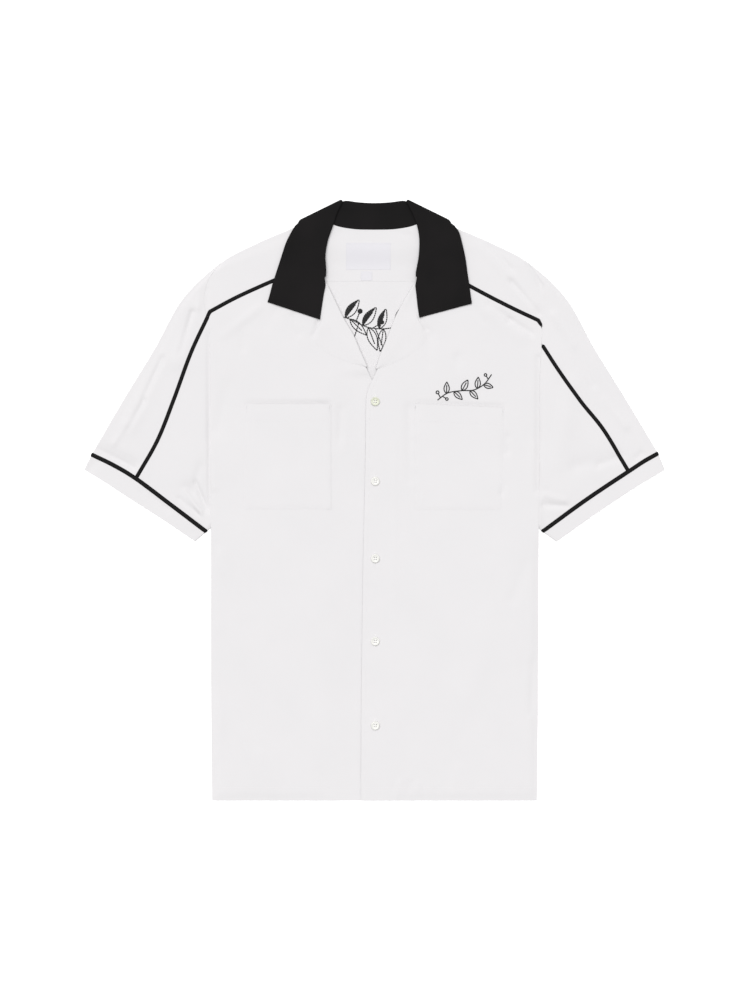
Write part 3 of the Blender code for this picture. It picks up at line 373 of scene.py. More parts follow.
# Soft folds of the upper side. Here x runs to the wearer's left, and a negative height is a trough.
LARGE_CREASES = (
    Crease(-241, 250, -256, 180, 11, 1.5),
    Crease(-272, 185, -318, 98, 11, 1.6),
    Crease(-313, 47, -360, 71, 7, -1.6),
    Crease(-244, 16, -220, -8, 7, -1.4),
    Crease(143, 331, 206, 254, 10, 1.4),
    Crease(154, 246, 190, 214, 11, 1.3),
    Crease(258, 150, 236, 50, 14, 1.3),
    Crease(318, 58, 262, 44, 9, -1.6),
)
FINE_CREASES = (
    Crease(-237, 244, -252, 192, 4, -1.9),
    Crease(-276, 184, -300, 132, 4.0, -1.9),
    Crease(-300, 128, -320, 92, 4.0, -1.9),
    Crease(-322, 100, -338, 74, 4, 1.0),
    Crease(-314, 42, -361, 66, 3.4, -2.3),
    Crease(-228, 280, -229, 250, 4.5, 0.8),
    Crease(-218, 272, -217, 254, 3.5, -0.7),
    Crease(-197, 313, -206, 303, 3.5, -1.3),
    Crease(-246, 12, -226, -16, 3.5, 1.6),
    Crease(-232, 22, -218, -12, 3.5, -2.1),
    Crease(-254, 2, -229, -18, 3.2, -1.5),
    Crease(-226, 44, -238, 12, 5, -1.0),
    Crease(-216, 70, -208, 16, 4, 1.0),
    Crease(-302, 14, -268, -14, 3.2, -1.2),
    Crease(-370, 40, -362, 50, 5, -0.8),
    Crease(-190, 150, -206, 90, 7, -0.8),
    Crease(-150, 250, -196, 214, 6, 0.9),
    Crease(-104, 240, -98, 216, 4.5, -1.2),
    Crease(-73, 232, -79, 214, 3.0, -2.4),
    Crease(60, 237, 67, 222, 3.0, -2.4),
    Crease(-118, 262, -140, 226, 7, -0.7),
    Crease(-171, 226, -171, 196, 6, -0.8),
    Crease(-200, -70, -168, -150, 9, 0.9),
    Crease(-206, -180, -186, -300, 8, -0.7),
    Crease(-44, 118, -43, 80, 4.5, -2.6),
    Crease(-38, 92, -40, 62, 4, 0.9),
    Crease(-120, -60, -80, -150, 14, 0.7),
    Crease(-150, -330, -132, -384, 6, 0.68),
    Crease(-70, -352, -62, -386, 5, -0.54),
    Crease(150, 331, 177, 300, 4, -1.5),
    Crease(178, 284, 214, 243, 3.8, -2.4),
    Crease(200, 303, 217, 278, 3.5, -1.5),
    Crease(196, 312, 208, 286, 4, 0.9),
    Crease(150, 254, 176, 234, 5, -1.8),
    Crease(176, 234, 203, 217, 4.5, -1.7),
    Crease(120, 262, 140, 232, 6, -0.8),
    Crease(71, 214, 72, 178, 7, -1.2),
    Crease(108, 186, 108, 170, 6, -0.9),
    Crease(234, 240, 258, 200, 6, 1.2),
    Crease(262, 196, 284, 150, 6, -1.1),
    Crease(300, 130, 326, 96, 6, 1.2),
    Crease(292, 46, 318, 56, 4.5, -2.0),
    Crease(347, 60, 336, 52, 4, -1.2),
    Crease(220, -6, 250, -8, 3.5, -2.0),
    Crease(222, 6, 246, 0, 3.5, 1.2),
    Crease(208, 70, 222, 20, 6, 0.9),
    Crease(213, 185, 212.5, 12, 3.4, -2.1),
    Crease(-215, 218, -214.5, -14, 3.0, -1.6),
    Crease(173, 82, 172, 62, 4, -1.6),
    Crease(168, 20, 165, 8, 3.5, -1.1),
    Crease(45, 120, 47, 26, 6, -1.4),
    Crease(207, -212, 204, -276, 5, -1.6),
    Crease(206, -60, 180, -130, 8, -0.8),
    Crease(150, -150, 120, -260, 16, 0.7),
    Crease(34, -366, 30, -384, 3, 0.68),
    Crease(46, -368, 44, -386, 3, -0.68),
    Crease(58, -368, 60, -384, 3, 0.61),
    Crease(110, -350, 104, -386, 6, 0.54),
)
NECK_CREASES = (
    Crease(22, 352, 40, 344, 3.5, -0.9),
    Crease(34, 356, 57, 346, 3.5, 0.8),
    Crease(44, 349, 56, 336, 3, -0.8),
    Crease(-44, 350, -57, 338, 4, -0.7),
)
POCKET_MOUTHS = (
    Crease(-165, 125.2, -60, 125.2, 3.0, -1.9),
    Crease(56, 125.2, 166, 120.4, 3.0, -1.7),
)
FACING_SHADOW = Crease(26.5, 78, 25.5, -262, 2.6, 0.3)
BACK_CREASES = (
    Crease(-38, 262, 6, 196, 7, 0.35),
    Crease(22, 250, -8, 214, 6, -0.25),
    Crease(-150, 180, -60, 60, 16, 0.4),
    Crease(160, 150, 60, -40, 18, 0.35),
    Crease(-120, -120, -150, -300, 16, 0.35),
    Crease(90, -200, 130, -340, 14, 0.3),
)
COLLAR_CREASES = (
    Crease(-118, 262, -96, 330, 10, 0.25),
    Crease(-84, 250, -72, 300, 8, -0.2),
    Crease(104, 262, 88, 326, 10, 0.25),
    Crease(70, 256, 66, 300, 8, -0.2),
    Crease(-62, 372, 60, 372, 8, 0.15),
)
LAPEL_CREASES = (
    Crease(-60, 222, -30, 200, 7, 0.25),
    Crease(48, 220, 22, 200, 7, 0.25),
)
SWELL_SIZE = 75.0
SWELL_HEIGHT = 0.28
RIPPLE_SIZE = 21.0
RIPPLE_HEIGHT = 0.07

# The back panel's share of the broad and small unevenness
BACK_SWELL = 0.5

# Along a crease its depth wanders between shares of the height in its row
WANDER_MIDDLE = 0.8
WANDER_REACH = 0.3
WANDER_TURN = 3.1

# Sewn lines, where the cloth puckers a little. Here too x runs to the wearer's left.
PUCKER_LINES = (
    Crease(-211, -374, 211, -374, 7, 0.16),
    Crease(-168, 124, -56.6, 124, 6, 0.12),
    Crease(-171, -10, -56.6, -10, 6, 0.14),
    Crease(-168, 124, -171, -10, 6, 0.12),
    Crease(-56.6, 124, -56.6, -10, 6, 0.12),
    Crease(51.4, 124, 168.5, 120, 6, 0.12),
    Crease(52.6, -11, 164.5, -11, 6, 0.14),
    Crease(168.5, 120, 164.5, -11, 6, 0.12),
    Crease(51.4, 124, 52.6, -11, 6, 0.12),
    Crease(-6.5, 130, -12, -380, 5, 0.10),
)
PUCKER_PITCH = 5.5
PUCKER_BEAT = 1.7
SMALL_PUCKER = 0.6
SMALL_PUCKER_PITCH = 0.61

# Steps of the fine grids, and the widths that their columns are counted from
PITCH = 2.9
BACK_PITCH = 1.5 * PITCH
FRONT_WIDTH = 230.0
POCKET_WIDTH = 115.0
FALL_STEPS = 26
ROLL_STEPS = 8
STAND_STEPS = 10
FOLD_STEPS = 8
YOKE_SIDE_STEPS = 58
YOKE_NECK_STEPS = 30
YOKE_BACK_STEPS = 26
YOKE_FRONT_STEPS = 30
SLEEVE_STEPS = 104
SLEEVE_TOP_STEPS = 44
SLEEVE_UNDER_STEPS = 48
CUFF_STEPS = 56
CUFF_DEPTH_STEPS = 7
LAPEL_STEPS = 24
LAPEL_ROW_STEPS = 60
COLLAR_GORGE_STEPS = 16
COLLAR_LEAF_STEPS = 30
COLLAR_TURN_STEPS = 6
COLLAR_BACK_STEPS = 28
PATCH_STEPS = 24
PIPING_STEPS = 90
TURN_STEPS = 8
BEAD_SIDES = 14
BUTTON_SIDES = 48
HOLE_SIDES = 20
TANGENT_STEP = 0.02

# How fast a seam's curve fades along a piece, as the power of the share of its length
YOKE_ARMHOLE_FADE = 4
YOKE_FOOT_TURN = 0.1
SLEEVE_ARMHOLE_FADE = 3
SLEEVE_FOOT_FADE = 6
SLEEVE_CUFF_FADE = 3
SLEEVE_SEAM_FADE = 1.5
UNDERARM_EASE = (0.375, 1.0)
FALL_EASE = (1 / 3, 1.0)

# Sewing
STITCH_LENGTH = 2.3
STITCH_GAP = 0.7
THREAD_RADIUS = 0.14
STITCH_SIDES = 6
EDGE_STITCH = 1.8
TOP_STITCH = 5.0
HEM_DEPTH = 17.0
STITCH_ARCH = ((0.0, -0.6), (0.15, 0.35), (0.5, 0.7), (0.85, 0.35), (1.0, -0.6))
STITCH_TAPER = (0.5, 0.9, 1.0, 0.9, 0.5)
SEAM_STEPS = 60
SEAM_END = 6.0
EDGE_END = 3.0
EDGE_ROW_TOP = 162.0
UNDER_LAP_X = 22.0
BACK_HEM_REACH = 205.0
CUFF_ROW = (0.12, 3.9)
COLLAR_ROW = (0.0, 8.9)
COLLAR_ROW_STEPS = 80
COLLAR_ROW_END = 2.0
BARTACK_STITCHES = 14
BARTACK_START = 0.5
BARTACK_PITCH = 0.5
BARTACK_WIDTH = 2.0
LABEL_STITCH = 1.2
LABEL_STITCH_END = 1.0

# Buttonholes: their length, how far above the button's middle they lie, and their stitches
BUTTONHOLE_LENGTH = 14.0
BUTTONHOLE_RISE = 0.8
BUTTONHOLE_PITCH = 0.36
BUTTONHOLE_SLIT = 0.12
BUTTONHOLE_REACH = 1.35
BUTTONHOLE_THREAD = 0.22
BAR_STITCHES = range(-3, 4)
BAR_PITCH = 0.4
BAR_HALF = 0.9
BAR_GAP = 0.3
BAR_THREAD = 0.24
BUTTONHOLE_FLATNESS = 0.5

# Camera and light
CAMERA_X = 0.00065
CAMERA_HEIGHT = 3.0
CAMERA_LENS = 83.0
CAMERA_SENSOR = 36.0
FLOOR_REACH = 6.0
WORLD_STRENGTH = 0.48
FLOOR_GLOW = 0.3
KEY_STRENGTH = 2.34
KEY_SPREAD = 60.0
KEY_FROM = (-0.2, 0.52, 1.6)


def clamp(value):
    return max(0.0, min(1.0, value))


def smooth(value):
    """Eases from 0 to 1."""
    value = clamp(value)
    return value * value * (3 - 2 * value)


def eased(value, ends):
    """Eases from 0 to 1 as the value goes from one end to the other."""
    start, end = ends
    return smooth((value - start) / (end - start))


def lerp(start, end, share):
    return start + (end - start) * share


def steps(count):
    """count + 1 shares from 0 to 1."""
    return [i / count for i in range(count + 1)]


def curve(rows, place):
    """A smooth curve through the rows of a table, read at a place counted in rows."""
    last = len(rows) - 1
    place = max(0.0, min(float(last), place))
    first = min(int(place), last - 1)
    t = place - first
    start, end = rows[first], rows[first + 1]
    before = rows[first - 1] if first else [2 * b - c for b, c in zip(start, end)]
    after = rows[first + 2] if first + 2 <= last else [2 * c - b for b, c in zip(start, end)]
    values = [
        0.5 * (2 * b + (c - a) * t + (2 * a - 5 * b + 4 * c - d) * t**2 + (3 * b - a - 3 * c + d) * t**3)
        for a, b, c, d in zip(before, start, end, after)
    ]
    return type(start)(*values)


def flat(point):
    return Vector((point.x, point.y))


def curve_point(rows, place):
    return flat(curve(rows, place))


def height(levels, place):
    """A level read smoothly between the entries of a short list."""
    place = max(0.0, min(len(levels) - 1.0, place))
    first = min(int(place), len(levels) - 2)
    return lerp(levels[first], levels[first + 1], smooth(place - first))


def tangent(rows, place):
    """The direction of a curve, also at its ends."""
    place = max(TANGENT_STEP, min(len(rows) - 1 - TANGENT_STEP, place))
    return (curve_point(rows, place + TANGENT_STEP) - curve_point(rows, place - TANGENT_STEP)).normalized()


def left_of(direction):
    """The direction turned a quarter turn anticlockwise."""
    return Vector((-direction.y, direction.x))


def piecewise(points, x):
    """The y of a line through points, at x."""
    for start, end in zip(points, points[1:]):
        if x <= end.x:
            return lerp(start.y, end.y, (x - start.x) / (end.x - start.x))
    return points[-1].y


def bows(path):
    """How far each point of a path lies off the straight line between its ends."""
    last = len(path) - 1
    return [point - path[0].lerp(path[-1], i / last) for i, point in enumerate(path)]


def at(plan, z, weight=0.0):
    """A point of a sheet: its place, and how much of the soft folds it takes."""
    return Vector((plan[0], plan[1], z, weight))


def neck_rise(x, y):
    """0 to 1: how far the body is raised over the collar's hidden fall."""
    return smooth((y - piecewise(HIDDEN_FALL, abs(x)) + NECK_RISE_START) / NECK_RISE_WIDTH)


def yoke_near_level(x, y):
    return FRONT_LEVEL + NECK_NEAR_RISE * neck_rise(x, y)


def yoke_far_level(x, y):
    return BACK_LEVEL + NECK_FAR_RISE * neck_rise(x, y)


def fold_arc(fold, outward, near_z, far_z):
    """Points round a fold from its upper to its lower side, within the fold's outline."""
    reach = (near_z - far_z) / 2
    middle = (near_z + far_z) / 2
    points = []
    for share in steps(FOLD_STEPS):
        angle = math.pi * share
        inset = outward * (reach * (math.sin(angle) - 1))
        points.append(at(fold + inset, middle + reach * math.cos(angle), (1 + math.cos(angle)) / 2))
    return points


# ------------------------------------------------------------------------- folds in the cloth


def beside_line(x, y, line):
    """For arrays of places: how far along a crease's line each lies, and how far off it.

    The first is counted in lengths of the line and runs on past its ends. The length comes third.
    """
    way = np.array((line.end_x - line.start_x, line.end_y - line.start_y))
    length = np.hypot(*way)
    along = ((x - line.start_x) * way[0] + (y - line.start_y) * way[1]) / length**2
    share = np.clip(along, 0, 1)
    off = np.hypot(x - line.start_x - way[0] * share, y - line.start_y - way[1] * share)
    return along, off, length


def crease_heights(x, y, creases):
    """The height that a table of creases adds at arrays of places; each crease fades at its ends."""
    total = np.zeros_like(x)
    for crease in creases:
        along, off, _ = beside_line(x, y, crease)
        wander = WANDER_MIDDLE + WANDER_REACH * np.sin(WANDER_TURN * np.clip(along, 0, 1) + crease.start_x)
        total += crease.height * wander * np.exp(-((off / crease.width) ** 2))
    return total


def pucker_heights(x, y):
    """Small uneven ripples beside the sewn lines."""
    total = np.zeros_like(x)
    for seam in PUCKER_LINES:
        along, off, length = beside_line(x, y, seam)
        turn = along * length / PUCKER_PITCH
        wave = np.sin(turn) * np.sin(turn / PUCKER_BEAT + seam.start_y)
        wave += SMALL_PUCKER * np.sin(turn / SMALL_PUCKER_PITCH + seam.end_x)
        total += seam.height * wave * np.exp(-((off / seam.width) ** 2))
    return total


def swell_heights(x, y):
    """Broad and small unevenness of cloth that lies loose."""
    heights = []
    for px, py in zip(x, y):
        broad = noise.noise(Vector((px, py, 0)) / SWELL_SIZE)
        small = noise.noise(Vector((px, py, SWELL_SIZE)) / RIPPLE_SIZE)
        heights.append(SWELL_HEIGHT * broad + RIPPLE_HEIGHT * small)
    return np.array(heights)


def near_relief(x, y):
    """The folds of the upper side."""
    creases = LARGE_CREASES + FINE_CREASES + NECK_CREASES + POCKET_MOUTHS + (FACING_SHADOW,)
    return crease_heights(x, y, creases) + pucker_heights(x, y) + swell_heights(x, y)


def pocket_relief(x, y):
    return near_relief(x, y) - crease_heights(x, y, POCKET_MOUTHS)


def back_relief(x, y):
    return crease_heights(x, y, BACK_CREASES) + BACK_SWELL * swell_heights(x, y)


def collar_relief(x, y):
    return crease_heights(x, y, COLLAR_CREASES)


def lapel_relief(x, y):
    return crease_heights(x, y, LAPEL_CREASES) + near_relief(x, y)


# ------------------------------------------------------------------------------------ meshes

LEAST_WEIGHT = 0.001
SHARP_ANGLE = 50.0
CAST_HEIGHT = 30.0

# The rounded rim of a sheet, from its upper to its lower side: how far in and how high, in halves
# of its thickness
RIM = ((0.3, 1.0), (0.0, 0.55), (0.0, -0.55), (0.3, -1.0))


def sheet_quads(rows, ring=False):
    """The quads between rows of points; rows may differ in length, and a ring joins their ends."""
    starts = np.cumsum([0] + [len(row) for row in rows])
    quads = []
    for i in range(len(rows) - 1):
        count = min(len(rows[i]), len(rows[i + 1]))
        for j in range(count if ring else count - 1):
            k = (j + 1) % count
            quads.append((starts[i] + j, starts[i] + k, starts[i + 1] + k, starts[i + 1] + j))
    return np.array(quads)


def unit(vectors):
    lengths = np.linalg.norm(vectors, axis=1, keepdims=True)
    return vectors / np.maximum(lengths, TINY)


def shell_data(points, weights, quads, thickness, outset):
    """Vertices and faces of a closed shell round a sheet, with a rounded rim.

    The sheet's outer side is the one that faces up where the weights are. The sheet is moved out
    on that side by the outset. The thickness is one number or one for each point.
    """
    total = len(points)
    corners = [points[quads[:, i]] for i in range(4)]
    across = np.cross(corners[2] - corners[0], corners[3] - corners[1])
    if (across[:, 2] * (weights[quads].mean(axis=1) + LEAST_WEIGHT)).sum() < 0:
        quads = quads[:, ::-1]
        across = -across
    normals = np.zeros_like(points)
    for i in range(4):
        np.add.at(normals, quads[:, i], across)
    normals = unit(normals)
    points = points + normals * outset
    edges = np.concatenate([quads[:, [i, (i + 1) % 4]] for i in range(4)])
    keys = edges.min(axis=1) * total + edges.max(axis=1)
    _, where, uses = np.unique(keys, return_index=True, return_counts=True)
    rim = edges[where[uses == 1]]
    outward = np.zeros_like(points)
    sideways = np.cross(points[rim[:, 1]] - points[rim[:, 0]], normals[rim[:, 0]])
    np.add.at(outward, rim[:, 0], sideways)
    np.add.at(outward, rim[:, 1], sideways)
    outward = unit(outward)
    rim_points = np.unique(rim)
    on_rim = np.zeros((total, 1))
    on_rim[rim_points] = 1
    half = np.broadcast_to(np.reshape(thickness, (-1, 1)) / 2, (total, 1))
    layers = [points - outward * on_rim * half * RIM[0][0] + normals * half]
    layers.append(points - outward * on_rim * half * RIM[-1][0] - normals * half)
    place = np.zeros(total, int)
    place[rim_points] = np.arange(len(rim_points))
    for inward, up in RIM[1:-1]:
        base, out, normal = points[rim_points], outward[rim_points], normals[rim_points]
        layers.append(base - out * half[rim_points] * inward + normal * half[rim_points] * up)
    first = 2 * total
    count = len(rim_points)
    levels = [lambda i: i]
    levels += [lambda i, k=k: first + k * count + place[i] for k in range(len(RIM) - 2)]
    levels += [lambda i: i + total]
    faces = [quads, quads[:, ::-1] + total]
    for upper, lower in zip(levels, levels[1:]):
        a, b = rim[:, 0], rim[:, 1]
        faces.append(np.stack([upper(b), upper(a), lower(a), lower(b)], axis=1))
    return np.concatenate(layers), np.concatenate(faces)


def add_mesh(name, vertices, faces, material):
    """A smooth mesh from vertices in millimetres; it rides on the shirt's body."""
    mesh = bpy.data.meshes.new(name)
    mesh.from_pydata((np.asarray(vertices) * MM).tolist(), [], [tuple(map(int, face)) for face in faces])
    mesh.materials.append(material)
    mesh.shade_smooth()
    mesh.set_sharp_from_angle(angle=math.radians(SHARP_ANGLE))
    obj = bpy.data.objects.new(name, mesh)
    bpy.context.scene.collection.objects.link(obj)
    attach(obj, "root")
    return obj


TREES = {}


def add_cloth(name, rows, thickness, material, relief=None, ring=False, outset=0.0):
    """A sheet of cloth from rows of weighted points. It replaces the node of its name."""
    points = np.array([tuple(point) for row in rows for point in row])
    weights = points[:, 3]
    if relief:
        points[:, 2] += weights * relief(points[:, 0], points[:, 1])
    vertices, faces = shell_data(points[:, :3], weights, sheet_quads(rows, ring), thickness, outset)
    TREES[name] = BVHTree.FromPolygons(vertices.tolist(), faces.tolist())
    obj = add_mesh(f"{name}_cloth", vertices, faces, material)
    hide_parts(name)


def on_piece(name, plan, under=False):
    """The point and normal of a piece's upper or lower face at a place."""
    rise = 1.0 if under else -1.0
    start = Vector((plan[0], plan[1], -rise * CAST_HEIGHT))
    point, normal, _, _ = TREES[name].ray_cast(start, Vector((0, 0, rise)))
    return point, normal


def to_side(side, rows):
    """Rows in outward x, placed on their side of the shirt."""
    sign = SIDES[side]
    return [[Vector((sign * p.x, p.y, p.z, p.w)) for p in row] for row in rows]


class Threads:
    """Many small thread pieces that make one mesh."""

    def __init__(self):
        self.vertices = []
        self.faces = []

    def tube(self, points, radii, up, sides=STITCH_SIDES, flatness=1.0, closed=False):
        """A tube through points; up tells its flatter side."""
        first = len(self.vertices)
        last = len(points) - 1
        for i, (point, radius) in enumerate(zip(points, radii)):
            before = points[i - 1] if i or closed else points[0]
            after = points[(i + 1) % len(points)] if i < last or closed else points[last]
            along = (after - before).normalized()
            aside = along.cross(up).normalized()
            over = aside.cross(along)
            for j in range(sides):
                angle = 2 * math.pi * j / sides
                offset = aside * math.cos(angle) + over * (math.sin(angle) * flatness)
                self.vertices.append(point + offset * radius)
        count = len(points)
        for i in range(count if closed else last):
            low, high = first + i * sides, first + (i + 1) % count * sides
            for j in range(sides):
                k = (j + 1) % sides
                self.faces.append((low + j, low + k, high + k, high + j))
        if not closed:
            self.faces.append(tuple(first + j for j in reversed(range(sides))))
            self.faces.append(tuple(first + last * sides + j for j in range(sides)))

    def stitch(self, start, end, up, radius=THREAD_RADIUS, flatness=1.0):
        """One stitch that dips into the cloth at both ends."""
        points = []
        for share, lift in STITCH_ARCH:
            points.append(start.lerp(end, share) + up * (lift * radius * flatness))
        radii = [radius * share for share in STITCH_TAPER]
        self.tube(points, radii, up, flatness=flatness)

    def add(self, name, material):
        add_mesh(name, [tuple(vertex) for vertex in self.vertices], self.faces, material)


def spaced(path, pitch):
    """Points about a pitch apart along a path of plan points."""
    lengths = [0.0]
    for a, b in zip(path, path[1:]):
        lengths.append(lengths[-1] + (b - a).length)
    count = max(1, round(lengths[-1] / pitch))
    points, i = [], 0
    for share in steps(count):
        goal = share * lengths[-1]
        while i < len(path) - 2 and lengths[i + 1] < goal:
            i += 1
        gap = max(lengths[i + 1] - lengths[i], TINY)
        points.append(path[i].lerp(path[i + 1], (goal - lengths[i]) / gap))
    return points


def sew(threads, piece, path, under=False, length=STITCH_LENGTH, gap=STITCH_GAP, radius=THREAD_RADIUS):
    """A row of stitches along a plan path on a piece; a thread over the usual radius lies flat."""
    flatness = THREAD_RADIUS / radius
    points = spaced(path, length + gap)
    for a, b in zip(points, points[1:]):
        trim = gap / 2 / (b - a).length
        start, normal = on_piece(piece, a.lerp(b, trim), under)
        end, _ = on_piece(piece, a.lerp(b, 1 - trim), under)
        if start and end and (start - end).length < 2 * length:
            threads.stitch(start, end, normal, radius, flatness)


# -------------------------------------------------------------------------------- materials

SLUB_SCALES = ((26.0, 700.0, 26.0), (700.0, 26.0, 26.0))
CLOTH_MOTTLE = 60.0
PEARL_MOTTLE = 4.0
ROUGHNESS_DRIFT = 0.06
WEAVE_DEPTH = 0.12
TWIST_DEPTH = 0.08
PEARL_DEPTH = 0.1


def node(tree, kind, **values):
    made = tree.nodes.new(kind)
    for name, value in values.items():
        setattr(made, name, value)
    return made


def link(tree, source, target):
    tree.links.new(source, target)


def maths(tree, operation, first, second=None):
    """A Math node on sockets or numbers; returns its output."""
    made = node(tree, "ShaderNodeMath", operation=operation)
    for socket, value in zip(made.inputs, (first, second)):
        if value is None:
            continue
        if isinstance(value, (int, float)):
            socket.default_value = value
        else:
            link(tree, value, socket)
    return made.outputs[0]


def new_group(name, inputs, outputs):
    """An empty shader group; inputs are name to default, outputs name to socket type."""
    group = bpy.data.node_groups.new(name, "ShaderNodeTree")
    for label, default in inputs.items():
        kind = "NodeSocketColor" if isinstance(default, tuple) else "NodeSocketFloat"
        socket = group.interface.new_socket(name=label, in_out="INPUT", socket_type=kind)
        socket.default_value = default
    for label, kind in outputs.items():
        group.interface.new_socket(name=label, in_out="OUTPUT", socket_type=kind)
    return group, group.nodes.new("NodeGroupInput"), group.nodes.new("NodeGroupOutput")


def weave_group():
    """Plain weave: crossing threads of a given pitch in millimetres, with uneven thick threads."""
    group, given, out = new_group(
        "plain_weave",
        {"Pitch": 0.5, "Slub": 0.5, "Seed": 0.0},
        {"Height": "NodeSocketFloat", "Slubs": "NodeSocketFloat"},
    )
    place = node(group, "ShaderNodeTexCoord")
    parts = node(group, "ShaderNodeSeparateXYZ")
    link(group, place.outputs["Object"], parts.inputs[0])
    turns = maths(group, "DIVIDE", math.pi / MM, given.outputs["Pitch"])
    waves = []
    for axis in ("X", "Y"):
        waves.append(maths(group, "SINE", maths(group, "MULTIPLY", parts.outputs[axis], turns)))
    crossing = maths(group, "MULTIPLY", waves[0], waves[1])
    streaks = []
    for scale in SLUB_SCALES:
        mapping = node(group, "ShaderNodeMapping")
        mapping.inputs["Scale"].default_value = scale
        link(group, place.outputs["Object"], mapping.inputs["Vector"])
        texture = node(group, "ShaderNodeTexNoise", noise_dimensions="4D")
        texture.inputs["Scale"].default_value = 1.0
        texture.inputs["Detail"].default_value = 2.0
        link(group, mapping.outputs[0], texture.inputs["Vector"])
        link(group, given.outputs["Seed"], texture.inputs["W"])
        streaks.append(texture.outputs["Fac"])
    slubs = maths(group, "MULTIPLY", maths(group, "ADD", streaks[0], streaks[1]), 0.5)
    raised = maths(group, "MULTIPLY", slubs, given.outputs["Slub"])
    link(group, maths(group, "ADD", maths(group, "MULTIPLY", crossing, 0.5), raised), out.inputs["Height"])
    link(group, slubs, out.inputs["Slubs"])
    return group


def mottle_group():
    """Soft uneven patches: a colour that drifts between two, and a mask of the drift."""
    group, given, out = new_group(
        "soft_mottle",
        {"Colour": (0.8, 0.8, 0.8, 1.0), "Other Colour": (0.7, 0.7, 0.7, 1.0), "Size": 40.0, "Seed": 0.0},
        {"Colour": "NodeSocketColor", "Mask": "NodeSocketFloat"},
    )
    place = node(group, "ShaderNodeTexCoord")
    texture = node(group, "ShaderNodeTexNoise", noise_dimensions="4D")
    texture.inputs["Detail"].default_value = 3.0
    link(group, place.outputs["Object"], texture.inputs["Vector"])
    link(group, maths(group, "DIVIDE", 1 / MM, given.outputs["Size"]), texture.inputs["Scale"])
    link(group, given.outputs["Seed"], texture.inputs["W"])
    mask = node(group, "ShaderNodeMapRange")
    mask.inputs["From Min"].default_value = 0.3
    mask.inputs["From Max"].default_value = 0.7
    link(group, texture.outputs["Fac"], mask.inputs["Value"])
    mix = node(group, "ShaderNodeMix", data_type="RGBA")
    link(group, mask.outputs[0], mix.inputs["Factor"])
    link(group, given.outputs["Colour"], mix.inputs["A"])
    link(group, given.outputs["Other Colour"], mix.inputs["B"])
    link(group, mix.outputs["Result"], out.inputs["Colour"])
    link(group, mask.outputs[0], out.inputs["Mask"])
    return group


def twist_group():
    """The slanting plies of spun thread or bias-cut cloth, from a pitch in millimetres."""
    group, given, out = new_group("slanting_twist", {"Pitch": 1.0}, {"Height": "NodeSocketFloat"})
    place = node(group, "ShaderNodeTexCoord")
    parts = node(group, "ShaderNodeSeparateXYZ")
    link(group, place.outputs["Object"], parts.inputs[0])
    level = maths(group, "ADD", parts.outputs["X"], parts.outputs["Y"])
    slant = maths(group, "ADD", level, parts.outputs["Z"])
    turns = maths(group, "DIVIDE", 2 * math.pi / MM, given.outputs["Pitch"])
    link(group, maths(group, "SINE", maths(group, "MULTIPLY", slant, turns)), out.inputs["Height"])
    return group


def place_group(tree, group, **values):
    made = node(tree, "ShaderNodeGroup")
    made.node_tree = group
    for name, value in values.items():
        made.inputs[name.replace("_", " ")].default_value = value
    return made


def shader_material(name, settings):
    """A material with its shader's constant sockets set."""
    made = bpy.data.materials.new(name)
    made.use_nodes = True
    shader = made.node_tree.nodes["Principled BSDF"]
    for label, value in settings.items():
        shader.inputs[label].default_value = value
    return made, made.node_tree, shader


def bump(tree, shader, source, strength, distance):
    made = node(tree, "ShaderNodeBump")
    made.inputs["Strength"].default_value = strength
    made.inputs["Distance"].default_value = distance * MM
    link(tree, source, made.inputs["Height"])
    link(tree, made.outputs[0], shader.inputs["Normal"])


def mottled(tree, shader, group, colours, size, seed=0.0):
    """The shader's colour drifts softly between two; returns the mottle group's node."""
    colour, other = colours
    made = place_group(tree, group, Colour=(*colour, 1), Other_Colour=(*other, 1), Size=size, Seed=seed)
    link(tree, made.outputs["Colour"], shader.inputs["Base Color"])
    return made


def woven_material(name, groups, colours, pitch, slub, roughness, settings, strength=0.5):
    """Cloth: mottled colour, weave bump, and roughness that varies with the thick threads."""
    made, tree, shader = shader_material(name, settings)
    mottled(tree, shader, groups["mottle"], colours, CLOTH_MOTTLE)
    weave = place_group(tree, groups["weave"], Pitch=pitch, Slub=slub)
    rough = node(tree, "ShaderNodeMapRange")
    rough.inputs["To Min"].default_value = roughness - ROUGHNESS_DRIFT
    rough.inputs["To Max"].default_value = roughness + ROUGHNESS_DRIFT
    link(tree, weave.outputs["Slubs"], rough.inputs["Value"])
    link(tree, rough.outputs[0], shader.inputs["Roughness"])
    bump(tree, shader, weave.outputs["Height"], strength, WEAVE_DEPTH)
    return made


def thread_material(name, groups, colour, roughness, pitch, shine=0.3):
    """Spun thread or bias-cut cloth: one colour with a slanting bump."""
    made, tree, shader = shader_material(name, {"Base Color": (*colour, 1), "Roughness": roughness})
    shader.inputs["Specular IOR Level"].default_value = shine
    twist = place_group(tree, groups["twist"], Pitch=pitch)
    bump(tree, shader, twist.outputs["Height"], strength=0.5, distance=TWIST_DEPTH)
    return made


def pearl_material(name, groups, colours):
    """Pressed shell: layered cream and grey-green under a clear gloss."""
    gloss = {"Roughness": 0.3, "Coat Weight": 0.4, "Coat Roughness": 0.15}
    made, tree, shader = shader_material(name, gloss)
    mottle = mottled(tree, shader, groups["mottle"], colours, PEARL_MOTTLE, seed=3.0)
    bump(tree, shader, mottle.outputs["Mask"], strength=0.15, distance=PEARL_DEPTH)
    return made


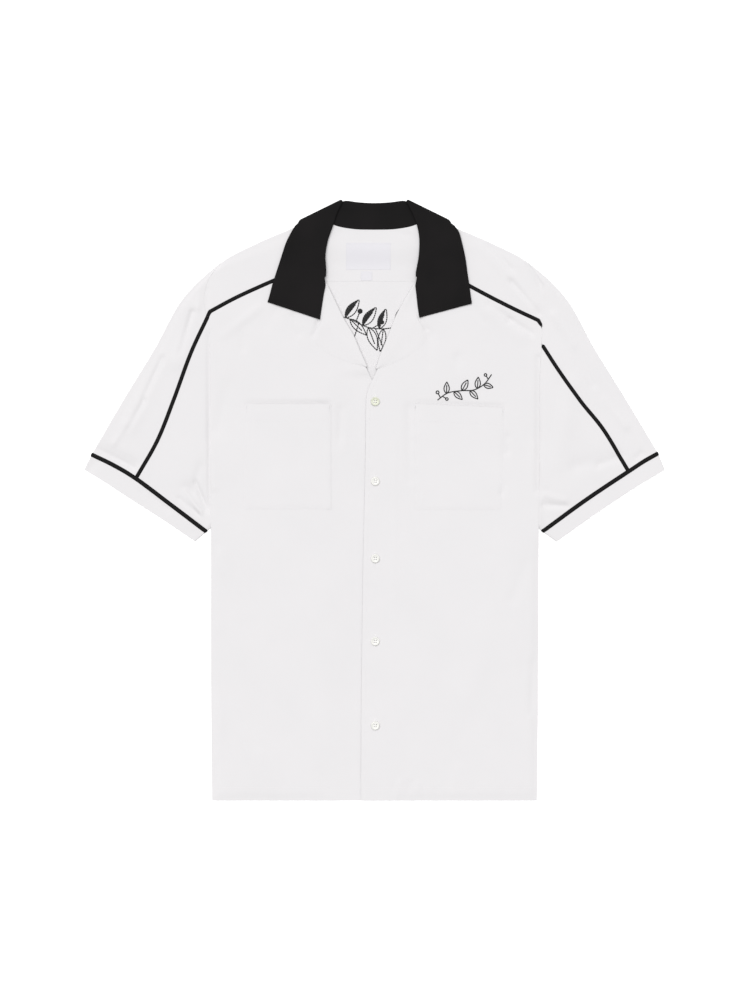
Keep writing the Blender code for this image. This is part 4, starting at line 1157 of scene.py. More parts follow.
def make_materials():
    groups = {"weave": weave_group(), "mottle": mottle_group(), "twist": twist_group()}
    soft = {"Sheen Weight": 0.12, "Sheen Roughness": 0.5, "Specular IOR Level": 0.25}
    dark = {"Sheen Weight": 0.01, "Sheen Roughness": 0.4, "Specular IOR Level": 0.08}
    satin = {"Sheen Weight": 0.1, "Specular IOR Level": 0.45}
    white, black = (0.8, 0.79, 0.797), (0.008, 0.0075, 0.008)
    return {
        "shirting": woven_material(
            "shirting",
            groups,
            colours=((0.735, 0.721, 0.73), (0.722, 0.71, 0.719)),
            pitch=0.55,
            slub=0.6,
            roughness=0.78,
            settings=soft,
        ),
        "collar": woven_material(
            "collar_cloth",
            groups,
            colours=((0.0085, 0.0082, 0.0083), (0.0122, 0.011, 0.0113)),
            pitch=0.7,
            slub=0.5,
            roughness=0.85,
            settings=dark,
        ),
        "label": woven_material(
            "label_satin",
            groups,
            colours=((0.67, 0.658, 0.692), (0.68, 0.668, 0.698)),
            pitch=0.3,
            slub=0.2,
            roughness=0.42,
            settings=satin,
            strength=0.3,
        ),
        "piping": thread_material(
            "piping_cloth", groups, (0.0085, 0.008, 0.0083), roughness=0.7, pitch=0.8, shine=0.1
        ),
        "thread": thread_material("white_thread", groups, white, roughness=0.6, pitch=0.35),
        "black_thread": thread_material("black_thread", groups, black, roughness=0.5, pitch=0.35),
        "pearl": pearl_material("button_pearl", groups, ((0.74, 0.74, 0.7), (0.84, 0.83, 0.8))),
        # The first button's pearl: the same shell made darker and greener, as painted shade, since all the
        # buttons are alike
        "painted_shade_pearl": pearl_material(
            "button_painted_shade_pearl", groups, ((0.62, 0.64, 0.5), (0.74, 0.75, 0.64))
        ),
    }


# ------------------------------------------------------------------------------------ body


def back_half_width(y):
    """Half the back panel's width: full below the armpit, then in along the armhole seam."""
    side = lerp(BACK_HEM_HALF, BACK_HALF, smooth((y - HEM_Y) / BACK_TAPER_LENGTH))
    armhole = lerp(BACK_ARMHOLE_FOOT, BACK_ARMHOLE_TOP, clamp((y - ARMPIT_Y) / (YOKE_SEAM_Y - ARMPIT_Y)))
    return lerp(side, armhole, eased(y, ARMPIT_EASE))


def add_back(finish):
    top = YOKE_SEAM_Y - SEAM / 2
    rows = []
    for share in steps(round((top - HEM_Y) / BACK_PITCH)):
        y = lerp(HEM_Y, top, share)
        half = back_half_width(y)
        inside = smooth((y - HEM_Y) / BACK_EDGE_EASE) * smooth((top - y) / BACK_EDGE_EASE)
        row = []
        for across in steps(round(2 * BACK_HALF / BACK_PITCH)):
            x = half * (2 * across - 1)
            row.append(at((x, y), BACK_LEVEL, inside * smooth((half - abs(x)) / BACK_EDGE_EASE)))
        rows.append(row)
    add_cloth("back", rows, SHIRTING, finish, back_relief)


def shoulder_piping(side, place, clear):
    """A point beside the shoulder piping, clear of its centre line towards the neck side."""
    rows = SHOULDER_PIPING[side]
    return curve_point(rows, place) - left_of(tangent(rows, place)) * clear


def shoulder_line(side):
    """The shoulder piping's centre line: a short turn at the armhole, then along its seam."""
    rows = SHOULDER_PIPING[side]
    turn, corner = flat(PIPING_TURN[side]), flat(rows[0])
    onward = curve_point(rows, PIPING_TURN_REACH)
    path = [turn.lerp(corner, share).lerp(corner.lerp(onward, share), share) for share in steps(TURN_STEPS)]
    path += [curve_point(rows, lerp(PIPING_TURN_REACH, SPAN, share)) for share in steps(PIPING_STEPS)[1:]]
    return path


def yoke_foot(side, share):
    """The yoke's lower edge, along the piping and round its turn at the armhole."""
    straight = 1 - YOKE_FOOT_TURN
    if share <= straight:
        return shoulder_piping(side, SPAN * (1 - share / straight), PIPING_CLEAR)
    corner = flat(SHOULDER_PIPING[side][0])
    aside = left_of((corner - flat(PIPING_TURN[side])).normalized())
    start, bend = shoulder_piping(side, 0, PIPING_CLEAR), corner - aside * PIPING_CLEAR
    along = (share - straight) / YOKE_FOOT_TURN
    return start.lerp(bend, along).lerp(bend.lerp(yoke_armhole(side, 0), along), along)


def yoke_armhole(side, up):
    """The yoke's edge beside the sleeve, from its foot at the piping up to the fold."""
    rows = SLEEVE_ARMHOLE[side]
    place = lerp(YOKE_FOOT_PLACE[side], len(rows) - 1, up)
    return curve_point(rows, place) + left_of(tangent(rows, place)) * SEAM


def fold_drop(distance):
    """How far the upper side sinks towards a fold that lies at a distance."""
    return FOLD_DROP * (1 - smooth(distance / FOLD_EASE))


def yoke_shoulder_row(side, share):
    """From the back seam up to the fold and down to the piping; share runs from neck to armhole."""
    place = ARMHOLE_ROW * share
    fold = curve_point(FOLD_LINE, place)
    if share == 1:
        fold = yoke_armhole(side, 1)
    outward = left_of(tangent(FOLD_LINE, place))
    far_foot = Vector((lerp(FOLD_LINE[0].x, BACK_ARMHOLE_TOP, share), YOKE_SEAM_Y + SEAM / 2))
    turn = fold_arc(fold, outward, yoke_near_level(*fold) - FOLD_DROP, yoke_far_level(*fold))
    inner = turn[0].to_2d()
    row = []
    for up in steps(YOKE_BACK_STEPS)[:-1]:
        plan = far_foot.lerp(inner, up)
        row.append(at(plan, yoke_far_level(*plan)))
    row += reversed(turn)
    near = steps(YOKE_FRONT_STEPS)
    armhole = [yoke_armhole(side, up) for up in near]
    foot = yoke_foot(side, share)
    for up, bow in list(zip(near, bows(armhole)))[-2::-1]:
        plan = foot.lerp(inner, up) + bow * share**YOKE_ARMHOLE_FADE
        row.append(at(plan, yoke_near_level(*plan) - fold_drop((plan - inner).length), 1.0))
    return row


def yoke_neck_row(x):
    """From the back seam up to the neck seam, between the shoulders."""
    neck = [Point(row.neck_x, row.neck_y) for row in reversed(COLLAR_FAR)]
    top = piecewise(neck, abs(x)) - 2 * SEAM
    row = []
    for up in steps(YOKE_BACK_STEPS):
        y = lerp(YOKE_SEAM_Y + SEAM / 2, top, up)
        loose = smooth((y - YOKE_SEAM_Y) / YOKE_SEAM_EASE) * smooth((top - y) / NECK_SEAM_EASE)
        loose *= smooth((NECK_LOOSE_HALF - abs(x)) / NECK_SIDE_EASE)
        row.append(at((x, y), yoke_far_level(x, y), NECK_LOOSE * loose))
    return row


def add_yoke(finish):
    places = steps(YOKE_SIDE_STEPS)
    right = to_side("right", [yoke_shoulder_row("right", share) for share in reversed(places)])
    left = to_side("left", [yoke_shoulder_row("left", share) for share in places])
    reach = COLLAR_FAR[0].neck_x - NECK_END_CLEAR
    neck = [yoke_neck_row(lerp(-reach, reach, share)) for share in steps(YOKE_NECK_STEPS)]
    add_cloth("yoke", right + neck + left, SHIRTING, finish, near_relief)


# ---------------------------------------------------------------------------------- fronts


def front_plan(side, place, share):
    """A point of the front; place counts table rows and share runs from the side to the edge."""
    row = curve(FRONT[side], place)
    across = (Point(row.side_x, row.side_y), Point(row.mid_x, row.mid_y), Point(row.edge_x, row.edge_y))
    return curve_point(across, 2 * share)


def front_edge_x(side, y):
    """Where the front edge lies at a height."""
    edge = [Point(row.edge_y, row.edge_x) for row in FRONT[side]]
    return piecewise(edge, y)


def front_point(side, place, share):
    last = len(FRONT[side]) - 1
    plan = front_plan(side, place, share)
    seam = shoulder_piping(side, lerp(FRONT_TOP_START, SPAN, share), -PIPING_CLEAR)
    plan += (seam - front_plan(side, last, share)) * clamp(place - last + 1) ** 2
    side_x = front_plan(side, place, 0).x
    x, y = plan
    side_curl = (1 - smooth((side_x - x) / EDGE_CURL)) * eased(y, SIDE_CURL_EASE)
    hem_curl = HEM_CURL_SHARE * (1 - smooth((y - HEM_Y) / EDGE_CURL))
    lap = 0.0
    if side == "left":
        hem_curl *= eased(x, HEM_LAP_CLEAR)
    else:
        other_edge = front_edge_x("left", y)
        lap = smooth((LAP_DIP_START - other_edge - x) / LAP_DIP_WIDTH) * eased(y, LAP_TOP_EASE)
    drop = (FRONT_LEVEL - UNDER_LEVEL) * max(side_curl, hem_curl, lap)
    return at(plan, FRONT_LEVEL - drop, 1 - max(side_curl, hem_curl / HEM_CURL_SHARE, lap))


def front_places(side):
    """Places along the front's table, about a pitch apart on its longer side."""
    places = [0.0]
    table = FRONT[side]
    for i, (row, after) in enumerate(zip(table, table[1:])):
        gap = max(
            math.hypot(after.side_x - row.side_x, after.side_y - row.side_y),
            math.hypot(after.edge_x - row.edge_x, after.edge_y - row.edge_y),
        )
        count = round(gap / PITCH)
        places += [i + (j + 1) / count for j in range(count)]
    return places


def add_front(side, finish):
    columns = steps(round(FRONT_WIDTH / PITCH))
    rows = [[front_point(side, place, share) for share in columns] for place in front_places(side)]
    add_cloth(
        f"front_{side}", to_side(side, rows), SHIRTING, finish, near_relief, outset=FRONT_OUTSET
    )


def pressed(distance):
    """The thickness of a piece near an edge that is pressed flat."""
    return lerp(PRESSED_EDGE, SHIRTING, smooth(distance / PRESS_WIDTH))


def add_facing(side, finish):
    """A lapel: a leg under the front, the fold at the roll, and the part that lies turned back."""
    last = len(FACING[side]) - 1
    rows, thickness = [], []
    for down in steps(LAPEL_ROW_STEPS):
        place = down * last
        row = curve(FACING[side], place)
        roll = Vector((row.roll_x, row.roll_y))
        edge = Vector((row.edge_x, row.edge_y))
        outward = (edge - roll).normalized()
        top = LAPEL_LEVEL - LAPEL_TUCK * (1 - smooth(place))
        radius = (top - LAPEL_LEG_LEVEL) / 2
        notch = NOTCH_LIFT * math.exp(-(((place - NOTCH_PLACE) / NOTCH_REACH) ** 2))
        points = []
        for share in LAPEL_LEG_STOPS:
            points.append(at(roll + outward * (radius + FACING_LEG * share), LAPEL_LEG_LEVEL))
        for share in steps(FOLD_STEPS):
            angle = math.pi * share
            plan = roll + outward * (radius * (1 - math.sin(angle)))
            points.append(at(plan, (top + LAPEL_LEG_LEVEL) / 2 - radius * math.cos(angle)))
        start = roll + outward * radius
        for share in steps(LAPEL_STEPS)[1:]:
            level = lerp(top, LAPEL_EDGE_LEVEL + notch, smooth(share * LAPEL_FALL))
            points.append(at(start.lerp(edge, share), level, smooth(share * LAPEL_LOOSE)))
        rows.append(points)
        thickness += [pressed((point.to_2d() - edge).length) for point in points]
    add_cloth(f"facing_{side}", to_side(side, rows), thickness, finish, lapel_relief)


def add_pocket(side, finish):
    top_in, top_out, low_out, low_in = (flat(corner) for corner in POCKET[side])
    rows, thickness = [], []
    for down in steps(round((top_in - low_in).length / PITCH)):
        start = top_in.lerp(low_in, down)
        end = top_out.lerp(low_out, down)
        row = []
        for share in steps(round(POCKET_WIDTH / PITCH)):
            lift = POCKET_LIFT * math.sqrt(math.sin(math.pi * share)) * (1 - smooth(down * POCKET_GAPE))
            edge = min(share, 1 - share) * (end - start).length
            foot = (1 - down) * (top_in - low_in).length
            thick = min(POCKET_CLOTH, pressed(edge), pressed(foot))
            thickness.append(thick)
            row.append(at(start.lerp(end, share), POCKET_BASE + thick / 2 + lift, 1.0))
        rows.append(row)
    add_cloth(f"pocket_{side}", to_side(side, rows), thickness, finish, pocket_relief)


# --------------------------------------------------------------------------------- sleeves


def cuff_point(side, place, along):
    """A point of the cuff by its place round it, along the sleeve from the cuff seam."""
    seam = curve_point(CUFF_SEAM[side], place)
    edge = curve_point(CUFF_EDGE[side], place)
    return seam + (edge - seam).normalized() * along


def matched(path, share, end, start=None):
    """A plan path read at a share, drawn over to a given end, and start, near each."""
    point = path(share) + (end - path(1)) * share**3
    if start is not None:
        point += (start - path(0)) * (1 - share) ** 3
    return point


def sleeve_points(side, share):
    """The plan of one cross-section: fold, piping, middle of the front panel, underarm, seam behind."""
    rows = SLEEVE[side]

    def fold_path(s):
        return curve_point(FOLD_LINE, ARMHOLE_ROW + SPAN * s)

    def table_path(kind):
        def path(s):
            row = curve(rows, SPAN * s)
            return Vector((getattr(row, f"{kind}_x"), getattr(row, f"{kind}_y")))

        return path

    def end(place):
        return cuff_point(side, place, -CUFF_PIPING_CLEAR)

    fold = matched(fold_path, share, end(0), flat(SLEEVE_ARMHOLE[side][-1]))
    pipe = matched(table_path("pipe"), share, end(CUFF_PIPE_ROW))
    mid = matched(table_path("mid"), share, end(CUFF_MID_ROW))
    under = matched(table_path("under"), share, end(SPAN))
    far_start = Vector((BACK_ARMHOLE_TOP + 2 * SEAM, YOKE_SEAM_Y))
    far_seam = pipe + (far_start - table_path("pipe")(0)) * (1 - share) ** SLEEVE_SEAM_FADE
    return fold, pipe, mid, under, far_seam


def sleeve_frame(side, share):
    """The plan points of a cross-section, with the directions out of its fold and its underarm."""
    here = sleeve_points(side, share)
    before = sleeve_points(side, max(0.0, share - TANGENT_STEP))
    after = sleeve_points(side, min(1.0, share + TANGENT_STEP))
    fold_out = left_of((after[0] - before[0]).normalized())
    under_out = -left_of((after[3] - before[3]).normalized())
    pipe_out = left_of((after[1] - before[1]).normalized())
    return here, fold_out, under_out, pipe_out


def cuff_bows(side, start, end, count):
    return bows([cuff_point(side, lerp(start, end, share), -CUFF_PIPING_CLEAR) for share in steps(count)])


def far_points(inner, far_seam, cuff):
    """The far side of a cross-section, from its fold or underarm to the seam behind."""
    last = len(cuff) - 1
    points = []
    for i in range(1, last + 1):
        plan = inner.lerp(far_seam, i / last) + cuff[last - i]
        if i == last:
            plan += (inner - far_seam).normalized() * SEAM
        points.append(at(plan, BACK_LEVEL))
    return points


def sleeve_top_row(side, share):
    count = SLEEVE_TOP_STEPS
    (fold, pipe, _, _, far_seam), fold_out, _, pipe_out = sleeve_frame(side, share)
    whole = 1 - share**SLEEVE_CUFF_FADE
    panel, at_fold = height(SLEEVE_LOFT, SPAN * share), height(SLEEVE_FOLD_LOFT, SPAN * share)
    turn = fold_arc(fold, fold_out, at_fold - FOLD_DROP * whole, BACK_LEVEL)
    inner = turn[0].to_2d()
    armhole_rows = SLEEVE_ARMHOLE[side]
    armhole = [curve_point(armhole_rows, (len(armhole_rows) - 1) * up) for up in steps(count)]
    (_, first_pipe, _, _, _), _, _, first_out = sleeve_frame(side, 0)
    foot = pipe + pipe_out * PIPING_CLEAR
    foot += (armhole[0] - first_pipe - first_out * PIPING_CLEAR) * (1 - share) ** SLEEVE_FOOT_FADE
    armhole_bows = [bow * (1 - share) ** SLEEVE_ARMHOLE_FADE for bow in bows(armhole)]
    cuff = [bow * share**SLEEVE_CUFF_FADE for bow in cuff_bows(side, CUFF_PIPE_ROW, 0, count)]
    row = []
    for i, up in enumerate(steps(count)[:-1]):
        plan = foot.lerp(inner, up) + armhole_bows[i] + cuff[i]
        level = lerp(panel, at_fold, smooth(up))
        row.append(at(plan, level - fold_drop((plan - inner).length) * whole, 1.0))
    return row + turn + far_points(inner, far_seam, cuff)


def sleeve_under_row(side, share):
    count = SLEEVE_UNDER_STEPS
    (_, pipe, mid, under, far_seam), _, under_out, pipe_out = sleeve_frame(side, share)
    panel, underarm = height(SLEEVE_LOFT, SPAN * share), height(UNDERARM_LOFT, SPAN * share)
    turn = fold_arc(under, under_out, underarm, BACK_LEVEL)
    inner = turn[0].to_2d()
    start = pipe - pipe_out * PIPING_CLEAR
    cuff = [bow * share**SLEEVE_CUFF_FADE for bow in cuff_bows(side, CUFF_PIPE_ROW, SPAN, count)]
    ends = [Point(*cuff_point(side, place, -CUFF_PIPING_CLEAR)) for place in range(CUFF_PIPE_ROW, SPAN + 1)]
    round_cuff = [curve_point(ends, 2 * down) for down in steps(count)]
    bent = [bow * share**SLEEVE_CUFF_FADE for bow in bows(round_cuff)]
    across = (Point(*start), Point(*mid), Point(*inner))
    row = []
    for i, down in enumerate(steps(count)[:-1]):
        plan = curve_point(across, 2 * down) + cuff[i] - bent[i]
        loft = lerp(panel, underarm, eased(down, UNDERARM_EASE))
        tuck = smooth((plan.x - TUCK_END_X) / TUCK_WIDTH)
        row.append(at(plan, lerp(TUCK_LEVEL, loft, tuck), 1.0))
    row += [at(p, p.z, 0.0) for p in turn]
    return row + far_points(inner, far_seam, cuff)


def add_sleeve(side, finish):
    top = [sleeve_top_row(side, share) for share in steps(SLEEVE_STEPS)]
    under = [sleeve_under_row(side, share) for share in steps(SLEEVE_STEPS)]
    add_cloth(f"sleeve_top_{side}", to_side(side, top), SHIRTING, finish, near_relief)
    add_cloth(f"sleeve_under_{side}", to_side(side, under), SHIRTING, finish, near_relief)


def cuff_depth(side, place):
    """The cuff's direction from its seam to its edge, as long as it is deep there."""
    return curve_point(CUFF_EDGE[side], place) - curve_point(CUFF_SEAM[side], place)


def cuff_loop(side, share, along, lift, far_z):
    """A closed row of points round the cuff, at a share of its depth plus a distance along it."""
    places = [SPAN * i / CUFF_STEPS for i in range(CUFF_STEPS + 1)]
    plans = [cuff_point(side, place, share * cuff_depth(side, place).length + along) for place in places]
    start_out = left_of(cuff_depth(side, 0).normalized())
    end_out = -left_of(cuff_depth(side, SPAN).normalized())
    start = fold_arc(plans[0], start_out, CUFF_LOFT[0] + lift, far_z)
    end = fold_arc(plans[-1], end_out, CUFF_LOFT[-1] + lift, far_z)
    between = list(zip(plans, places))[1:-1]
    near = [at(plan, height(CUFF_LOFT, place) + lift, 1.0) for plan, place in between]
    far = [at(plan, far_z) for plan, _ in reversed(between)]
    return start[:1] + near + end + far + list(reversed(start))[:-1]


def add_cuff(side, finish):
    loops = []
    for share in steps(CUFF_DEPTH_STEPS):
        loops.append(cuff_loop(side, share, CUFF_PIPING_CLEAR * (1 - share), 0, CUFF_FAR_LEVEL))
    add_cloth(f"cuff_{side}", to_side(side, loops), CUFF_CLOTH, finish, near_relief, ring=True)


# ---------------------------------------------------------------------------------- piping


def add_bead(name, centre, across, half, rise, finish, ring=False, rounded=False):
    """A corded bead with a nearly round section along points, with directions across it.

    Its first end is rounded where it shows.
    """
    points = np.array(centre)
    aside = unit(np.array(across))
    after, before = np.roll(points, -1, axis=0), np.roll(points, 1, axis=0)
    if not ring:
        after[-1], before[0] = points[-1], points[0]
    along = unit(after - before)
    normals = unit(np.cross(along, aside))
    if normals[len(points) // 4][2] < 0:
        normals = -normals
    end = np.ones(len(points))
    if rounded:
        end[: len(ROUND_END)] = ROUND_END
    vertices = []
    for j in range(BEAD_SIDES):
        angle = 2 * math.pi * j / BEAD_SIDES
        side_share, up_share = math.cos(angle), math.sin(angle)
        vertices.append(points + (aside * side_share * half + normals * up_share * rise) * end[:, None])
    count = len(points)
    faces = []
    for i in range(count if ring else count - 1):
        k = (i + 1) % count
        for j in range(BEAD_SIDES):
            m = (j + 1) % BEAD_SIDES
            faces.append((j * count + i, m * count + i, m * count + k, j * count + k))
    if not ring:
        faces.append(tuple(j * count for j in reversed(range(BEAD_SIDES))))
        faces.append(tuple(j * count + count - 1 for j in range(BEAD_SIDES)))
    obj = add_mesh(f"{name}_cord", np.concatenate(vertices), faces, finish)
    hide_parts(name)


def line_bead(name, side, centre, finish, rounded):
    """A bead along a line of weighted points, raised by the folds under it."""
    placed = to_side(side, [centre])[0]
    points = np.array([tuple(point) for point in placed])
    points[:, 2] += points[:, 3] * near_relief(points[:, 0], points[:, 1])
    path = [Vector(point[:3]) for point in points.tolist()]
    across = []
    for i in range(len(path)):
        way = path[min(i + 1, len(path) - 1)] - path[max(i - 1, 0)]
        across.append((-way.y, way.x, 0))
    add_bead(name, path, across, PIPING_HALF, PIPING_RISE, finish, rounded=rounded)


def add_piping(side, finish):
    shoulder = [at(plan, yoke_near_level(*plan) + PIPING_LIFT, 1.0) for plan in shoulder_line(side)]
    sleeve = []
    for share in steps(PIPING_STEPS):
        plan = sleeve_points(side, share)[1]
        sleeve.append(at(plan, height(SLEEVE_LOFT, SPAN * share) + PIPING_LIFT, 1.0))
    shows = side == "left"
    if shows:
        ahead = (sleeve[0] - sleeve[1]).normalized() * SLEEVE_PIPING_START
        sleeve[:0] = [sleeve[0] + ahead, sleeve[0] + ahead / 2]
    loops = []
    for along in (-1, 0, 1):
        loops.append(cuff_loop(side, 0, along, CUFF_PIPING_LIFT, CUFF_PIPING_FAR))
    loops = to_side(side, loops)
    centre = np.array([tuple(point) for point in loops[1]])
    centre[:, 2] += centre[:, 3] * near_relief(centre[:, 0], centre[:, 1])
    across = [(b - a).to_3d() for a, b in zip(loops[0], loops[2])]
    line_bead(f"piping_shoulder_{side}", side, shoulder, finish, shows)
    line_bead(f"piping_sleeve_{side}", side, sleeve, finish, shows)
    cuff = f"piping_cuff_{side}"
    add_bead(cuff, centre[:, :3], across, CUFF_PIPING_HALF, CUFF_PIPING_RISE, finish, ring=True)


# ---------------------------------------------------------------------------------- collar


def collar_line(neck, roll, edge, up, reaches):
    """One cross-section of the collar, from the fall's edge over the roll to the neck seam.

    up is 1 on the upper side and -1 on the far side; reaches holds the distance from the collar's
    middle level of the fall's edge, the fall and the roll, and of the stand at the roll and neck.
    """
    edge_reach, fall_reach, roll_reach, stand_reach, neck_reach = reaches
    level = COLLAR_MIDDLE
    points = []
    for share in steps(FALL_STEPS):
        reach = lerp(edge_reach, fall_reach, eased(share, FALL_EASE))
        weight = smooth(share * FALL_LOOSE) * smooth((1 - share) * FALL_LOOSE) * max(up, 0)
        points.append(at(edge.lerp(roll, share), level + up * reach, weight))
    if neck is None:
        return points
    along = (roll - (edge + neck) / 2).normalized()
    radius = (fall_reach - stand_reach) / 2
    points.pop()
    for share in steps(ROLL_STEPS):
        angle = math.pi * share
        plan = roll + along * (radius * (math.sin(angle) - 1))
        points.append(at(plan, level + up * (roll_reach + radius * math.cos(angle))))
    inner = roll - along * radius
    for share in steps(STAND_STEPS)[1:]:
        reach = lerp(stand_reach, neck_reach, smooth(share))
        points.append(at(inner.lerp(neck, share), level + up * reach))
    return points


def collar_ends(row):
    return (
        Vector((row.neck_x, row.neck_y)),
        Vector((row.roll_x, row.roll_y)),
        Vector((row.edge_x, row.edge_y)),
    )


def collar_near_line(side, place):
    row = curve(COLLAR_NEAR[side], place)
    neck, roll, edge = collar_ends(row)
    if place >= GORGE_ROWS:
        roll += (edge - roll).normalized() * GORGE_STEP * (1 - eased(place, GORGE_EASE))
    edge_reach = row.edge_z - COLLAR_MIDDLE
    roll_reach = row.roll_z - COLLAR_MIDDLE
    if place < GORGE_ROWS:
        return collar_line(None, roll, edge, 1, (edge_reach, roll_reach, 0, 0, 0))
    reaches = (
        edge_reach,
        roll_reach + ROLL_RADIUS,
        roll_reach,
        roll_reach - ROLL_RADIUS,
        row.neck_z - COLLAR_MIDDLE,
    )
    return collar_line(neck, roll, edge, 1, reaches)


def collar_fold_line(turn):
    """The cross-section at the fold over the shoulder, at a share of its half turn."""
    neck, roll, edge = collar_ends(COLLAR_FOLD)
    along = (edge - roll).normalized()
    outward = left_of(along)
    corner = edge + along * FALL_CORNER_REACH * clamp(1 - 2 * turn)
    angle = math.pi * turn
    turned = []
    for point in collar_line(neck, roll, corner, 1, FULL_REACHES):
        reach = point.z - COLLAR_MIDDLE
        plan = point.to_2d() + outward * (reach * math.sin(angle) - FALL_REACH)
        turned.append(at(plan, COLLAR_MIDDLE + reach * math.cos(angle)))
    return turned


def collar_side_rows(side):
    """One half of the collar, from the front end of its leaf to the middle of the back."""
    gorge = [collar_near_line(side, share * (GORGE_ROWS - 1)) for share in steps(COLLAR_GORGE_STEPS)]
    last = len(COLLAR_NEAR[side]) - 1
    near = [collar_near_line(side, lerp(GORGE_ROWS, last, share)) for share in steps(COLLAR_LEAF_STEPS)]
    fold = [collar_fold_line(turn) for turn in steps(FOLD_STEPS)]
    between = []
    for share in steps(COLLAR_TURN_STEPS)[1:-1]:
        between.append([a.lerp(b, share) for a, b in zip(near[-1], fold[0])])
    _, roll, edge = collar_ends(COLLAR_FOLD)
    inset = -left_of((edge - roll).normalized()) * FALL_REACH
    start = CollarRow(*(v + d for v, d in zip(COLLAR_FOLD, (*inset, *inset, *inset, 0, 0, 0))))
    middle = COLLAR_FAR[-2]
    beyond = middle._replace(neck_x=-middle.neck_x, roll_x=-middle.roll_x, edge_x=-middle.edge_x)
    table = (start, *COLLAR_FAR, beyond)
    far = []
    for share in steps(COLLAR_BACK_STEPS)[1:]:
        neck, roll, edge = collar_ends(curve(table, share * len(COLLAR_FAR)))
        far.append(collar_line(neck, roll, edge, -1, FULL_REACHES))
    return to_side(side, gorge + near + between + fold + far)


def add_collar(finish):
    right = collar_side_rows("right")
    left = collar_side_rows("left")[:-1]
    add_cloth("collar", right + left[::-1], COLLAR_CLOTH, finish, collar_relief)


# ------------------------------------------------------------------------ buttons and labels


def add_patch(name, size, centre, finish):
    """A flat label laid on the inside of the back yoke."""
    rows = []
    for down in steps(PATCH_STEPS):
        y = centre[1] + size[1] * (0.5 - down)
        row = []
        for share in steps(PATCH_STEPS):
            x = centre[0] + size[0] * (share - 0.5)
            row.append(at((x, y), on_piece("yoke", (x, y))[0].z + LABEL_CLOTH / 2 + LAY_GAP))
        rows.append(row)
    add_cloth(name, rows, LABEL_CLOTH, finish)


def button_profile():
    """Radius and height from the middle of the back, round the rim, to the dished face."""
    rim = BUTTON_RADIUS
    top = BUTTON_THICK
    return (
        (0.0, 0.15),
        (rim - 1.6, 0.1),
        (rim - 0.8, 0.25),
        (rim - 0.15, 0.8),
        (rim, 1.25),
        (rim - 0.12, 1.75),
        (rim - 0.5, top - 0.22),
        (rim - 0.95, top),
        (rim - 1.35, top - 0.08),
        (rim - 1.8, top - 0.42),
        (rim - 2.3, top - 0.66),
        (rim - 3.0, top - 0.72),
    )


def add_disc(name, y, base, finish):
    """A button without its holes, turned from its profile, with its back at the base's height."""
    profile = button_profile()
    vertices, faces = [], []
    for radius, z in profile:
        for i in range(BUTTON_SIDES if radius else 1):
            angle = 2 * math.pi * i / BUTTON_SIDES
            vertices.append((BUTTON_X + radius * math.cos(angle), y + radius * math.sin(angle), base + z))
    vertices.append((BUTTON_X, y, base + profile[-1][1]))
    for i in range(BUTTON_SIDES):
        j = (i + 1) % BUTTON_SIDES
        faces.append((0, 1 + j, 1 + i))
        for ring in range(len(profile) - 2):
            low = 1 + ring * BUTTON_SIDES
            high = low + BUTTON_SIDES
            faces.append((low + i, low + j, high + j, high + i))
        top = 1 + (len(profile) - 2) * BUTTON_SIDES
        faces.append((top + i, top + j, len(vertices) - 1))
    return add_mesh(name, vertices, faces, finish)


def drill_hole(button, place):
    bpy.ops.mesh.primitive_cylinder_add(
        vertices=HOLE_SIDES,
        radius=BUTTON_HOLE_RADIUS * MM,
        depth=4 * BUTTON_THICK * MM,
        location=place * MM,
    )
    drill = bpy.context.object
    cut = button.modifiers.new("thread hole", "BOOLEAN")
    cut.operation = "DIFFERENCE"
    cut.solver = "EXACT"
    cut.object = drill
    bpy.context.view_layer.objects.active = button
    bpy.ops.object.modifier_apply(modifier=cut.name)
    bpy.data.objects.remove(drill, do_unlink=True)


def sew_button(threads, holes):
    """Two rows of strands over the button's face, each from one hole to its neighbour."""
    up = Vector((0, 0, 1))
    face = button_profile()[-1][1]
    for start, end in ((holes[0], holes[1]), (holes[3], holes[2])):
        for shift in STRAND_SHIFTS:
            aside = (end - start).cross(up).normalized() * shift
            points = []
            for share, z in STRAND_ARCH:
                points.append(start.lerp(end, share) + aside + up * (face + z))
            threads.tube(points, [STRAND_RADIUS] * len(points), up)


def add_button(number, y, finishes):
    """A button with four thread holes, sewn on through the lap. The first gets a darker, greener copy of
    the same pearl, as painted shade.
    """
    base = on_piece("front_left", (BUTTON_X, y))[0].z + BUTTON_REST
    # The first button takes the darker, greener pearl copy: painted shade
    pearl = finishes["painted_shade_pearl" if number == 1 else "pearl"]
    button = add_disc(f"button_{number}_shell", y, base, pearl)
    holes = []
    for turn in range(4):
        angle = math.radians(90 * turn + BUTTON_HOLE_ANGLE)
        offset = Vector((math.cos(angle), math.sin(angle), 0)) * BUTTON_HOLE_OFFSET
        holes.append(Vector((BUTTON_X, y, base)) + offset)
        drill_hole(button, holes[-1])
    button.data.set_sharp_from_angle(angle=math.radians(SHARP_ANGLE))
    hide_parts(f"button_{number}")
    threads = Threads()
    sew_button(threads, holes)
    threads.add(f"button_{number}_thread", finishes["thread"])


# ---------------------------------------------------------------------------------- sewing


def mirrored(side, path):
    """A path in outward x, placed on its side of the shirt."""
    return [Vector((SIDES[side] * point[0], point[1])) for point in path]


def sew_front(threads, side):
    """The hem's row, and on the front that laps over also the row along its edge."""
    hem_y = HEM_Y + HEM_DEPTH
    piece = f"front_{side}"
    inner_x = FRONT[side][0].edge_x + EDGE_END if side == "left" else UNDER_LAP_X
    sew(threads, piece, mirrored(side, [(BACK_HEM_HALF - SEAM_END, hem_y), (inner_x, hem_y)]))
    if side == "left":
        path = []
        for share in steps(SEAM_STEPS):
            y = lerp(EDGE_ROW_TOP, HEM_Y + EDGE_END, share)
            path.append(Vector((front_edge_x(side, y) + TOP_STITCH, y)))
        sew(threads, piece, path)


